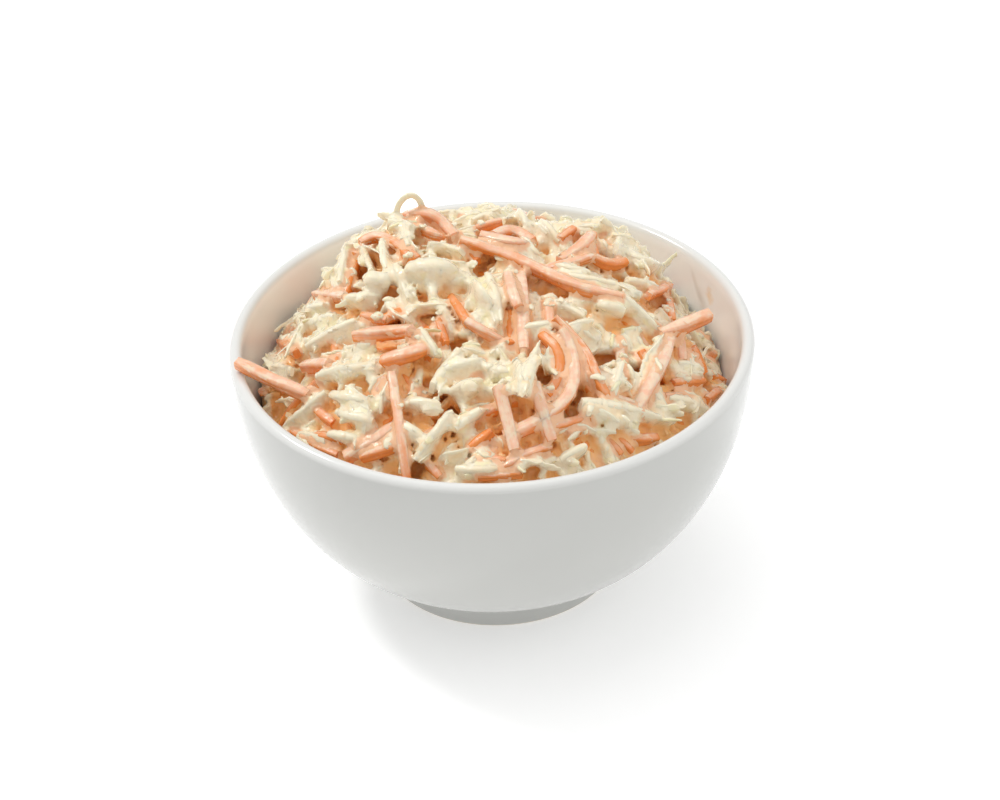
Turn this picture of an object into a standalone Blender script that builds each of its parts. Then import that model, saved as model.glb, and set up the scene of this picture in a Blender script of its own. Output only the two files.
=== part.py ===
"""Coleslaw heaped in its plain white porcelain bowl.

Metres, +Z up. The bowl stands on its foot ring with the ring's middle at the origin. The coleslaw is
one solid: a lumpy core that fills the bowl, with carrot sticks, cabbage shreds and bits of cabbage
fused to its top at their true size.
"""

import math
import random
from typing import NamedTuple

import bmesh
import bpy
from mathutils import Matrix, Vector, noise

MM = 0.001

# The bowl, outside
RIM_RADIUS = 70 * MM
BOWL_HEIGHT = 73.7 * MM
FLOOR_CURVE_RADIUS = 18.6 * MM  # where the curved side meets the flat underside
UNDERSIDE = 6.8 * MM
SIDE_FULLNESS = 2.29  # roundness of the side, read across
SIDE_DEPTH = 1.95  # roundness of the side, read downwards
FOOT_RADIUS = 33 * MM
FOOT_WIDTH = 3.8 * MM
FOOT_EDGE = 0.7 * MM
RECESS_HEIGHT = 5.6 * MM

# The bowl's wall
RIM_WALL = 3.5 * MM
FLOOR_WALL = 4.6 * MM
TURN_STEPS = 52
SIDE_POINTS = 8
LIP_POINTS = 4

# The heap
GAP = 0.45 * MM  # between the coleslaw and the bowl
HEAP_RISE = 16 * MM  # the middle above the rim
HEAP_EDGE = 10 * MM  # the edge below the rim, front and back
HEAP_SIDE_DROP = 11 * MM  # how much lower the edge is at the left and right
HEAP_FULLNESS = 3.4
HEAP_LEAN = 0.10  # the heap is higher at the back
LUMP_SIZE = 10 * MM
LUMP_HEIGHT = 4.4 * MM
CORE_SECTORS = 54
CORE_RINGS = 30
CORE_TOP = 1.4  # share of the sphere's rings drawn over the top, of 2 from pole to pole

CORE_SIDE = 0.8  # share of the remaining rings that follow the bowl's side

# Clumps on the heap, in mm: middle x and y, radius, height
CLUMPS = (
    (-27, 36, 13, 6.5),
    (35, 27, 13, 7),
    (3, 34, 9, 3),
    (-41, 28, 8, 4),
    (-59, 17, 7, 4),
    (56, 26, 11, -4),
    (50, -8, 10, 4),
    (-38, -14, 12, 2),
    (-20, 2, 13, 2),
    (10, -12, 14, 1.5),
    (20, 12, 12, 1),
    (-26, -34, 12, 2),
    (30, -36, 11, 2),
    (2, -46, 12, 1.5),
)


class Shred(NamedTuple):
    """A strip that lies on the heap: its ends in plan, width, bulges and lifts, all in mm."""

    start: tuple
    end: tuple
    width: float
    bow: float = 0  # bulge sideways
    rise: float = 0  # bulge upwards
    lift: float = 0.6
    start_lift: float = 0  # more lift at the start, fading towards the end


CARROT_THICKNESS = 2.6 * MM
CABBAGE_THICKNESS = 1.5 * MM
STEP_LENGTH = 6 * MM  # along a shred, from one bend to the next
WALL_CLEARANCE = 0.5 * MM
SEED = 7
LOOSE_CARROTS = 16
LOOSE_CABBAGES = 16
LOOSE_BITS = 20
SHRED_SPACING = 7.5 * MM

CARROTS = (
    Shred((-64, -4), (-47, -14), 3.4, 1, 0, 1.4, start_lift=14),
    Shred((-38, -15), (-20, -19), 3.2, 1, 0, 1),
    Shred((-29, -26), (-17, -23), 3.4, -1, 0, 1),
    Shred((-25, -29), (-23, -57), 3, 2, 0, 1),
    Shred((-54, -33), (-46, -22), 3.2, 1, 0, 1),
    Shred((-36, 17), (-18, 17), 3, 3, 1, 1),
    Shred((-60, 7), (-49, -1), 3.4, -1, 0, 0.8),
    Shred((-8, 11), (34, -7), 3.4, 3, 1, 1.4),
    Shred((5, -4), (7, -15), 3.4, 0, 0, 1.2),
    Shred((9, -3), (9, -29), 3, 1, 0, 1),
    Shred((13, -12), (15, -23), 3, 0, 0, 1),
    Shred((16, -19), (15, -43), 3.4, -9, 0, 1.4),
    Shred((1, -39), (6, -54), 3.2, 1, 0, 1.4),
    Shred((11, -35), (15, -51), 3.6, -1, 0, 1.2),
    Shred((4, -57), (14, -53), 3, 1, 0, 0.6),
    Shred((6, -49), (25, -45), 2.6, 2, 0, 0.6),
    Shred((43, -12), (58, -4), 3.4, 0, 0, 1.6),
    Shred((38, -37), (46, -19), 3.2, 2, 0, 1),
    Shred((41, 0), (49, 8), 3.2, 0, 0, 1),
    Shred((-17, 33), (-10, 40), 3, 1, 2, 1.5),
    Shred((45, -27), (55, -24), 3, 1, 0, 1),
)

CABBAGES = (
    Shred((-34, 6), (-9, -5), 8, 2, 1, 0.8),
    Shred((-29, 22), (-27, 8), 4, 0, 2, 1),
    Shred((-17, -55), (-11, -43), 4, 0, 1, 1),
    Shred((-38, -32), (-27, -46), 9, 2, 1, 0.8),
    Shred((-5, -10), (2, -28), 8, -2, 1, 1),
    Shred((4, -38), (12, -26), 6, 1, 2, 1),
    Shred((21, -41), (46, -46), 4, 2, 1, 1),
    Shred((-27, 37), (-18, 39), 1.8, 0, 7, 1),
    Shred((14, -2), (34, -8), 6, -2, 1, 0.8),
    Shred((-10, 24), (3, 31), 5, 2, 1, 1),
    Shred((30, -28), (42, -20), 7, 1, 1, 1),
)


def side_point(turn, depth):
    """The bowl's side in section, for a turn of 0 at the rim and 1 at the floor, a depth into the wall."""

    def outside(share):
        angle = share * math.pi / 2
        across = max(math.cos(angle), 0.0) ** (2 / SIDE_FULLNESS)
        down = max(math.sin(angle), 0.0) ** (2 / SIDE_DEPTH)
        return Vector((
            FLOOR_CURVE_RADIUS + (RIM_RADIUS - FLOOR_CURVE_RADIUS) * across,
            BOWL_HEIGHT - (BOWL_HEIGHT - UNDERSIDE) * down,
        ))

    step = 1e-3
    along = outside(min(turn + step, 1)) - outside(max(turn - step, 0))
    inward = Vector((along.y, -along.x)).normalized()
    return outside(turn) + inward * depth


def wall_depth(turn):
    """The wall's thickness, which grows from the rim to the floor."""
    return RIM_WALL + (FLOOR_WALL - RIM_WALL) * turn


def turn_at(height, clearance):
    """The turn at which the inner wall, a clearance inside it, passes a height."""
    low, high = 0.0, 1.0
    for _ in range(30):
        middle = (low + high) / 2
        if side_point(middle, wall_depth(middle) + clearance).y > height:
            low = middle
        else:
            high = middle
    return low


def inner_radius(height, clearance):
    """The radius of the space in the bowl at a height, a clearance inside the wall."""
    turn = turn_at(min(height, BOWL_HEIGHT - RIM_WALL / 2), clearance)
    return side_point(turn, wall_depth(turn) + clearance).x


def bowl_profile():
    """The bowl's section, from the middle of its inner floor over the lip to the middle underneath."""
    lip = RIM_WALL / 2
    lip_turn = turn_at(BOWL_HEIGHT - lip, 0)
    foot_turn = 1.0
    while side_point(foot_turn, 0).x < FOOT_RADIUS:
        foot_turn -= 0.005
    inside = []
    for index in range(SIDE_POINTS + 1):
        turn = 1 + (lip_turn - 1) * index / SIDE_POINTS
        inside.append(side_point(turn, wall_depth(turn)))
    over = []
    for index in range(1, 2 * LIP_POINTS):
        angle = math.pi * (1 - index / (2 * LIP_POINTS))
        over.append(Vector((
            RIM_RADIUS - lip + lip * math.cos(angle),
            BOWL_HEIGHT - lip + lip * math.sin(angle),
        )))
    outside = []
    for index in range(SIDE_POINTS + 1):
        turn = lip_turn + (foot_turn - lip_turn) * index / SIDE_POINTS
        outside.append(side_point(turn, 0))
    inner_foot = FOOT_RADIUS - FOOT_WIDTH
    foot = [
        Vector((FOOT_RADIUS, FOOT_EDGE)),
        Vector((FOOT_RADIUS - FOOT_EDGE, 0)),
        Vector((inner_foot + FOOT_EDGE, 0)),
        Vector((inner_foot, FOOT_EDGE)),
        Vector((inner_foot - FOOT_EDGE, RECESS_HEIGHT)),
    ]
    floor = Vector((0, inside[0].y))
    return [floor, *inside, *over, *outside, *foot, Vector((0, RECESS_HEIGHT))]


def bowl(collection):
    """The turned bowl."""
    profile = bpy.data.meshes.new("bowl")
    points = [(point.x, 0, point.y) for point in bowl_profile()]
    edges = [(index, index + 1) for index in range(len(points) - 1)]
    profile.from_pydata(points, edges, [])
    part = bpy.data.objects.new("bowl", profile)
    collection.objects.link(part)
    screw = part.modifiers.new("Turn", "SCREW")
    screw.steps = TURN_STEPS
    screw.render_steps = TURN_STEPS
    screw.use_merge_vertices = True
    screw.merge_threshold = 0.05 * MM
    screw.use_smooth_shade = True
    part.data.materials.append(finish("Porcelain", (0.87, 0.87, 0.85), 0.12))
    return part


def edge_drop(x, y):
    """How far the heap's edge lies below the rim, in the direction of a point in plan."""
    around = math.hypot(x, y)
    across = x / around if around > 0 else 0.0
    return HEAP_EDGE + HEAP_SIDE_DROP * across * across


def lumps(x, y):
    """The uneven relief on the heap, in two sizes."""
    place = Vector((x, y, 0)) / LUMP_SIZE
    return LUMP_HEIGHT * (noise.noise(place) + 0.4 * noise.noise(2.3 * place))


def heap_height(x, y):
    """The height of the core's top over a point in plan."""
    drop = edge_drop(x, y)
    reach = min(math.hypot(x, y) / inner_radius(BOWL_HEIGHT - drop, GAP), 1)
    height = BOWL_HEIGHT - drop + (HEAP_RISE + drop) * (1 - reach**HEAP_FULLNESS)
    height += HEAP_LEAN * y * (1 - reach * reach)
    extra = lumps(x, y)
    for middle_x, middle_y, radius, rise in CLUMPS:
        far = math.hypot(x - middle_x * MM, y - middle_y * MM) / (radius * MM)
        extra += rise * MM * math.exp(-far * far)
    return height + extra * (1 - reach**8)


def core():
    """The core of the heap: a sphere's upper half drawn over the top, its lower half down into the bowl."""
    shape = bmesh.new()
    bmesh.ops.create_uvsphere(
        shape, u_segments=CORE_SECTORS, v_segments=CORE_RINGS, radius=1
    )
    for vertex in shape.verts:
        around = math.atan2(vertex.co.y, vertex.co.x)
        heading = Vector((math.cos(around), math.sin(around)))
        polar = math.acos(max(-1, min(1, vertex.co.z))) / (math.pi / 2)
        edge_height = BOWL_HEIGHT - edge_drop(heading.x, heading.y)
        if polar <= CORE_TOP:
            out = polar / CORE_TOP
            plan = heading * inner_radius(edge_height, GAP) * out
            height = heap_height(plan.x, plan.y)
        else:
            down = (polar - CORE_TOP) / (2 - CORE_TOP)
            start = turn_at(edge_height, GAP)
            turn = start + (1 - start) * min(down / CORE_SIDE, 1)
            section = side_point(turn, wall_depth(turn) + GAP)
            plan = heading * section.x * min(1, (1 - down) / (1 - CORE_SIDE))
            height = section.y
        vertex.co = Vector((plan.x, plan.y, height))
    return faceted(shape, "coleslaw")


def faceted(shape, name):
    """A mesh of the shape with every face split into triangles, so that each face is flat."""
    bmesh.ops.triangulate(shape, faces=shape.faces[:])
    mesh = bpy.data.meshes.new(name)
    shape.to_mesh(mesh)
    shape.free()
    return mesh


def keep_in_bowl(point):
    """Moves a point in towards the middle until it is clear of the bowl's wall."""
    limit = inner_radius(point.z, WALL_CLEARANCE + GAP)
    around = math.hypot(point.x, point.y)
    if around > limit:
        point.x *= limit / around
        point.y *= limit / around
    return point


def shred_path(shred, share):
    """The middle of a shred at a share of its length, resting on the heap."""
    start = Vector(shred.start) * MM
    end = Vector(shred.end) * MM
    sideways = Vector((start.y - end.y, end.x - start.x)).normalized()
    bulge = 4 * share * (1 - share)
    middle = (start + end) / 2 + sideways * shred.bow * MM
    plan = start.lerp(end, share) + sideways * shred.bow * MM * bulge
    heights = [heap_height(point.x, point.y) for point in (start, middle, end)]
    sag = heights[1] - (heights[0] + heights[2]) / 2
    height = heights[0] + (heights[2] - heights[0]) * share + sag * bulge
    height += (shred.lift + shred.rise * bulge + shred.start_lift * (1 - share)) * MM
    return Vector((plan.x, plan.y, height))


def strip(shred, thickness, draw):
    """A bar with square-cut ends that follows a shred's path, a little twisted and tapered."""
    length = (Vector(shred.start) - Vector(shred.end)).length + 2 * shred.rise
    steps = max(2, min(7, round(length * MM / STEP_LENGTH)))
    shape = bmesh.new()
    bmesh.ops.create_cube(shape, size=1)
    lengthwise = [
        edge for edge in shape.edges if abs(edge.verts[0].co.x - edge.verts[1].co.x) > 0.5
    ]
    bmesh.ops.subdivide_edges(shape, edges=lengthwise, cuts=steps - 1)
    roll = draw.uniform(-0.25, 0.25)
    twist = draw.uniform(-0.5, 0.5)
    taper = draw.uniform(0.05, 0.3)
    for vertex in shape.verts:
        share = vertex.co.x + 0.5
        middle = shred_path(shred, share)
        along = shred_path(shred, min(share + 0.05, 1)) - shred_path(shred, max(share - 0.05, 0))
        along.normalize()
        side = Vector((0, 0, 1)).cross(along).normalized()
        up = along.cross(side)
        turn = Matrix.Rotation(roll + twist * (share - 0.5), 3, along)
        thin = 1 - taper * share * share
        offset = side * vertex.co.y * shred.width * MM * thin
        offset += up * vertex.co.z * thickness * thin
        vertex.co = keep_in_bowl(middle + turn @ offset)
    return faceted(shape, "shred")


def bit(place, size, draw):
    """A small uneven lump of cabbage, half sunk in the heap."""
    shape = bmesh.new()
    bmesh.ops.create_icosphere(shape, subdivisions=1, radius=size)
    turn = Matrix.Rotation(draw.uniform(0, math.tau), 3, "Z")
    stretch = Vector((1.2, 0.85, 0.75))
    middle = Vector((place.x, place.y, heap_height(place.x, place.y) + 0.25 * size))
    for vertex in shape.verts:
        uneven = vertex.co * draw.uniform(0.85, 1.15) * stretch
        vertex.co = keep_in_bowl(middle + turn @ uneven)
    return faceted(shape, "bit")


def open_places(count, taken, draw):
    """Places spread over the heap's top, clear of one another and of the places taken."""
    places = []
    for _ in range(60 * count):
        around = draw.uniform(0, math.tau)
        out = 0.9 * RIM_RADIUS * math.sqrt(draw.random())
        place = Vector((out * math.cos(around), out * math.sin(around)))
        if all((place - other).length > SHRED_SPACING for other in taken + places):
            places.append(place)
        if len(places) == count:
            break
    taken.extend(places)
    return places


def loose_shred(place, lengths, widths, draw):
    """A shred of a drawn length and heading whose middle is at a place on the heap."""
    reach = draw.uniform(*lengths) / 2
    heading = draw.uniform(0, math.pi)
    along = Vector((math.cos(heading), math.sin(heading))) * reach
    middle = Vector((place.x, place.y)) / MM
    return Shred(
        start=tuple(middle - along),
        end=tuple(middle + along),
        width=draw.uniform(*widths),
        bow=draw.uniform(-0.12, 0.12) * reach,
        lift=draw.uniform(0.3, 1),
    )


def toppings():
    """The meshes of all that is fused to the core, the largest first."""
    draw = random.Random(SEED)
    meshes = [strip(shred, CARROT_THICKNESS, draw) for shred in CARROTS]
    meshes += [strip(shred, CABBAGE_THICKNESS, draw) for shred in CABBAGES]
    taken = [shred_path(shred, 0.5).to_2d() for shred in CARROTS + CABBAGES]
    for place in open_places(LOOSE_CARROTS, taken, draw):
        shred = loose_shred(place, (14, 24), (2.8, 3.6), draw)
        meshes.append(strip(shred, CARROT_THICKNESS, draw))
    for place in open_places(LOOSE_CABBAGES, taken, draw):
        shred = loose_shred(place, (10, 18), (4, 7), draw)
        meshes.append(strip(shred, CABBAGE_THICKNESS, draw))
    for place in open_places(LOOSE_BITS, taken, draw):
        meshes.append(bit(place, draw.uniform(2.4, 3.6) * MM, draw))
    return meshes


def drop_loose_scraps(mesh):
    """Keeps the largest connected body of a mesh, which drops scraps and fills sealed hollows."""
    shape = bmesh.new()
    shape.from_mesh(mesh)
    left = set(shape.verts)
    bodies = []
    while left:
        body = {left.pop()}
        edge_of_body = list(body)
        while edge_of_body:
            vertex = edge_of_body.pop()
            for edge in vertex.link_edges:
                other = edge.other_vert(vertex)
                if other in left:
                    left.remove(other)
                    body.add(other)
                    edge_of_body.append(other)
        bodies.append(body)
    largest = max(bodies, key=len)
    scraps = [vertex for vertex in shape.verts if vertex not in largest]
    bmesh.ops.delete(shape, geom=scraps, context="VERTS")
    shape.to_mesh(mesh)
    shape.free()


def coleslaw(collection):
    """The heap: the core and all that is fused to it, as one solid."""
    part = bpy.data.objects.new("coleslaw", core())
    collection.objects.link(part)
    pieces = bpy.data.collections.new("fused pieces")
    bpy.context.scene.collection.children.link(pieces)
    for mesh in toppings():
        pieces.objects.link(bpy.data.objects.new("piece", mesh))
    union = part.modifiers.new("Fuse", "BOOLEAN")
    union.operation = "UNION"
    union.operand_type = "COLLECTION"
    union.collection = pieces
    union.solver = "MANIFOLD"
    graph = bpy.context.evaluated_depsgraph_get()
    fused = bpy.data.meshes.new_from_object(part.evaluated_get(graph))
    part.modifiers.remove(union)
    part.data = fused
    for piece in list(pieces.objects):
        bpy.data.objects.remove(piece)
    bpy.data.collections.remove(pieces)
    drop_loose_scraps(fused)
    fused.name = "coleslaw"
    fused.materials.clear()
    fused.materials.append(finish("Coleslaw", (0.86, 0.72, 0.5), 0.35))
    return part


def finish(name, colour, roughness):
    """A plain material of one colour."""
    material = bpy.data.materials.new(name)
    material.use_nodes = True
    shader = material.node_tree.nodes["Principled BSDF"]
    shader.inputs["Base Color"].default_value = (*colour, 1)
    shader.inputs["Roughness"].default_value = roughness
    shader.inputs["Metallic"].default_value = 0
    return material


def main():
    for thing in list(bpy.data.objects):
        bpy.data.objects.remove(thing)
    collection = bpy.data.collections.new("coleslaw in its bowl")
    bpy.context.scene.collection.children.link(collection)
    bowl(collection)
    coleslaw(collection)


if __name__ == "__main__":
    main()
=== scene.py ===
"""Coleslaw heaped in its white porcelain bowl: the looks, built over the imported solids.

The heap is built the way a spoon builds it. Carrot sticks and cabbage shreds are laid one by one on
a grid of heights, each coming to rest on what lies under it, until the heap has the form of the
solid that it replaces. Crumbs of cabbage go on top, and a dressing closes the narrow gaps.
"""

from __future__ import annotations

import logging
import math
from dataclasses import dataclass, field
from enum import Enum
from typing import Any, Optional, Sequence, Union

import bmesh
import bpy
import numpy as np
from mathutils import Matrix, Vector, noise

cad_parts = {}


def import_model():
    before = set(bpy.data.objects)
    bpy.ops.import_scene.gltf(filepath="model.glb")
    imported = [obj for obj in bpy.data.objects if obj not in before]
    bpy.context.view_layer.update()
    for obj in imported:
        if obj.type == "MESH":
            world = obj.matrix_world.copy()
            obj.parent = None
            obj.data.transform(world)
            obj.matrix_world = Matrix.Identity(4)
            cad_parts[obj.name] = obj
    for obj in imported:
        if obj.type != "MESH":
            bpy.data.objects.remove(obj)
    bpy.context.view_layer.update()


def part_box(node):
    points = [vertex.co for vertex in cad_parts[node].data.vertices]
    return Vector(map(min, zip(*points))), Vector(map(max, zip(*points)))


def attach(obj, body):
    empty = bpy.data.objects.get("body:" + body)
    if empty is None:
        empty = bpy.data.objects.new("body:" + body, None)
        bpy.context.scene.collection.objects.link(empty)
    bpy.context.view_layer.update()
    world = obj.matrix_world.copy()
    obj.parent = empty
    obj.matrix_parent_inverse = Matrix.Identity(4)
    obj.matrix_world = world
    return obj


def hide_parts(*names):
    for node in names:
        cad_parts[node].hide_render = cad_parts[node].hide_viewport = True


MM = 0.001
BODY = "root"
RIM_RADIUS = 70 * MM
CORE_DEPTH = 8 * MM
CRUST_LOW = 44 * MM

# The sockets of a Mix node that mixes colours
MIX_FACTOR, MIX_UNDER, MIX_OVER, MIX_RESULT = 0, 6, 7, 2

# Painted warm shade in the hollows: depths in mm under the heap's even height where it starts and
# is full, and its colours, warm shade and bounced light painted deep among the pale pieces and the
# carrots
PAINTED_SHADE_DEPTHS = (0.3, 3.8)
PAINTED_SHADE_PALE = (0.95, 0.51, 0.19)
PAINTED_SHADE_CARROT = (0.93, 0.31, 0.06)

# How far a shred's tone shifts its streaks, so that no two shreds have the same
STREAK_SHIFT = 37.0

log = logging.getLogger("coleslaw")

Colour = tuple[float, float, float]
Value = Union["Socket", float, int, Colour]


class Slot(Enum):
    """Material slot names."""

    PORCELAIN = "porcelain"
    COLESLAW = "coleslaw"


class Cut(Enum):
    """What a shred was cut from.

    Its thickness and its ends' taper are shares of its width, it is limp from 0 for a stiff stick
    to 1, and its usual bend is in radians over BEND_LENGTH.
    """

    CARROT = (0.85, 0.15, 0.15, 0.35)
    RIB = (0.5, 0.3, 0.3, 0.6)
    LEAF = (0.24, 0.75, 0.65, 0.6)

    def __init__(self, thickness: float, limp: float, taper: float, bend: float) -> None:
        """Names the parts of a member's value."""
        self.thickness = thickness
        self.limp = limp
        self.taper = taper
        self.bend = bend


BEND_LENGTH = 20 * MM


# Node graphs


class Socket:
    """An output socket whose arithmetic adds Math nodes to its graph."""

    def __init__(self, graph: "Graph", socket: bpy.types.NodeSocket) -> None:
        """Wraps a socket of a graph."""
        self.graph = graph
        self.socket = socket

    def _math(self, operation: str, first: Value, second: Value) -> "Socket":
        """Adds a Math node and returns its result."""
        return self.graph.node("ShaderNodeMath", {"operation": operation}, {0: first, 1: second})

    def __add__(self, other: Value) -> "Socket":
        """Sum."""
        return self._math("ADD", self, other)

    __radd__ = __add__

    def __sub__(self, other: Value) -> "Socket":
        """Difference."""
        return self._math("SUBTRACT", self, other)

    def __rsub__(self, other: Value) -> "Socket":
        """Difference, the other way round."""
        return self._math("SUBTRACT", other, self)

    def __mul__(self, other: Value) -> "Socket":
        """Product."""
        return self._math("MULTIPLY", self, other)

    __rmul__ = __mul__

    def __truediv__(self, other: Value) -> "Socket":
        """Quotient."""
        return self._math("DIVIDE", self, other)

    def __rtruediv__(self, other: Value) -> "Socket":
        """Quotient, the other way round."""
        return self._math("DIVIDE", other, self)

    def __pow__(self, other: Value) -> "Socket":
        """Power."""
        return self._math("POWER", self, other)

    def above(self, low: float, high: float) -> "Socket":
        """A mask that rises smoothly from 0 at one value to 1 at another."""
        return self.graph.node(
            "ShaderNodeMapRange",
            {"interpolation_type": "SMOOTHSTEP"},
            {"Value": self, "From Min": low, "From Max": high},
        )


class Graph:
    """A node tree with one way of adding nodes to it."""

    def __init__(self, tree: bpy.types.NodeTree) -> None:
        """Wraps a shader or geometry tree."""
        self.tree = tree

    def node(
        self,
        kind: str,
        settings: Optional[dict[str, Any]] = None,
        inputs: Optional[dict[Union[str, int], Any]] = None,
        output: Union[str, int] = 0,
    ) -> Socket:
        """Adds a node.

        Args:
            kind: The node's type name.
            settings: Its properties, which are set before its sockets.
            inputs: Values or links for its sockets, by name or number.
            output: The output that is wanted, by name or number.

        Returns:
            The chosen output, or the node's first input on a node without outputs.
        """
        node = self.tree.nodes.new(kind)
        for name, value in (settings or {}).items():
            setattr(node, name, value)
        for name, value in (inputs or {}).items():
            self.feed(node.inputs[name], value)
        return Socket(self, node.outputs[output] if node.outputs else node.inputs[0])

    def feed(self, target: bpy.types.NodeSocket, value: Any) -> None:
        """Links a socket, or sets its value, with alpha added to a plain colour."""
        if isinstance(value, Socket):
            self.tree.links.new(value.socket, target)
        elif isinstance(value, list):
            for part in value:
                self.tree.links.new(part.socket, target)
        elif target.type == "RGBA" and len(value) == 3:
            target.default_value = (*value, 1.0)
        else:
            target.default_value = value

    def mix(self, mask: Value, under: Value, over: Value) -> Socket:
        """Mixes two colours by a mask."""
        node = self.tree.nodes.new("ShaderNodeMix")
        node.data_type = "RGBA"
        self.feed(node.inputs[MIX_FACTOR], mask)
        self.feed(node.inputs[MIX_UNDER], under)
        self.feed(node.inputs[MIX_OVER], over)
        return Socket(self, node.outputs[MIX_RESULT])

    def noise(
        self, place: Socket, scale: Value, detail: float = 2.0, output: Union[str, int] = 0
    ) -> Socket:
        """Noise from 0 to 1 over a place, or in three channels as its output Color."""
        return self.node(
            "ShaderNodeTexNoise",
            {},
            {"Vector": place, "Scale": scale, "Detail": detail},
            output,
        )

    def scaled(self, vector: Socket, factor: Value) -> Socket:
        """A vector times a number."""
        return self.node(
            "ShaderNodeVectorMath", {"operation": "SCALE"}, {0: vector, "Scale": factor}
        )

    def function(self, operation: str, value: Value) -> Socket:
        """A Math node's function of one number."""
        return self.node("ShaderNodeMath", {"operation": operation}, {0: value})


@dataclass(frozen=True)
class Glow:
    """How much light spreads under a face, how far, and how far each of its colours."""

    weight: float
    scale: float
    radius: Colour


@dataclass(frozen=True)
class Mask:
    """Where a colour lies or a face is raised: a sum of noise, streaks and the mesh's attributes.

    The noise has a size in metres and a detail, and each part of the sum its weight. The colour
    starts at the first level of the sum and has its full strength at the second.
    """

    size: float
    detail: float = 2.0
    noise: float = 1.0
    streaks: float = 0.0
    attributes: tuple[tuple[str, float], ...] = ()
    levels: tuple[float, float] = (0.0, 1.0)
    strength: float = 1.0


GLAZE_IOR = 1.5
FOOD_IOR = 1.46
CARROT_GLOW = Glow(0.35, 1.2 * MM, (1.0, 0.5, 0.25))
CABBAGE_GLOW = Glow(0.3, 1.0 * MM, (1.0, 0.85, 0.6))


class Shader(Graph):
    """A material's graph round its Principled shader."""

    def __init__(self, name: str, colour: Colour) -> None:
        """Starts a material.

        Args:
            name: The material's name.
            colour: Its mean colour, for the plain view.
        """
        self.material = bpy.data.materials.new(name)
        self.material.use_nodes = True
        self.material.diffuse_color = (*colour, 1.0)
        super().__init__(self.material.node_tree)
        self.principled = self.tree.nodes["Principled BSDF"]
        self.place = self.node("ShaderNodeTexCoord", output="Object")

    def grain(self, size: float, detail: float = 2.0) -> Socket:
        """Noise from 0 to 1 whose lumps have a size in metres."""
        return self.noise(self.place, 1 / size, detail)

    def attribute(self, name: str) -> Socket:
        """A number that the mesh carries at each point."""
        return self.node("ShaderNodeAttribute", {"attribute_name": name}, output="Fac")

    def summed(self, mask: Mask, streaks: Optional[Socket] = None) -> Socket:
        """A mask's sum, before its levels."""
        total = self.grain(mask.size, mask.detail) * mask.noise
        if streaks:
            total = total + streaks * mask.streaks
        for name, weight in mask.attributes:
            total = total + self.attribute(name) * weight
        return total

    def masked(self, mask: Mask, streaks: Optional[Socket] = None) -> Socket:
        """A mask, from 0 to its strength."""
        return self.summed(mask, streaks).above(*mask.levels) * mask.strength

    def streaks(self, across: float, along: float) -> Socket:
        """Noise drawn out along a shred.

        Args:
            across: How many streaks go round the shred.
            along: The length of a streak in metres.

        Returns:
            The noise, from 0 to 1, which differs from shred to shred.
        """
        turn = self.attribute("around") * math.tau
        cosine = self.function("COSINE", turn)
        sine = self.function("SINE", turn)
        far = self.attribute("along") * (1 / along) + self.attribute("tone") * STREAK_SHIFT
        around = across / math.tau
        place = self.node(
            "ShaderNodeCombineXYZ", {}, {0: cosine * around, 1: sine * around, 2: far}
        )
        return self.noise(place, 1.0)

    def with_painted_shade(self, colour: Socket, deep: Colour) -> Socket:
        """A colour that turns to a painted warm shade in the hollows of the heap, where shade and
        bounced light fall.
        """
        return self.mix(self.attribute("deep").above(*PAINTED_SHADE_DEPTHS), colour, deep)

    def bump(self, height: Socket, distance: float) -> Socket:
        """A normal tilted by a height from 0 to 1 over a depth in metres."""
        return self.node(
            "ShaderNodeBump", {}, {"Height": height, "Distance": distance, "Strength": 1.0}
        )

    def moist(
        self, colour: Socket, roughness: Socket, normal: Socket, glow: Glow
    ) -> bpy.types.Material:
        """Ends the material as wet food, with some light in it."""
        return self.finish(
            Base_Color=colour,
            Roughness=roughness,
            Normal=normal,
            Subsurface_Weight=glow.weight,
            Subsurface_Radius=glow.radius,
            Subsurface_Scale=glow.scale,
            IOR=FOOD_IOR,
        )

    def finish(self, **sockets: Any) -> bpy.types.Material:
        """Sets the sockets, named with underscores for spaces, and returns the material."""
        for name, value in sockets.items():
            self.feed(self.principled.inputs[name.replace("_", " ")], value)
        return self.material


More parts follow.
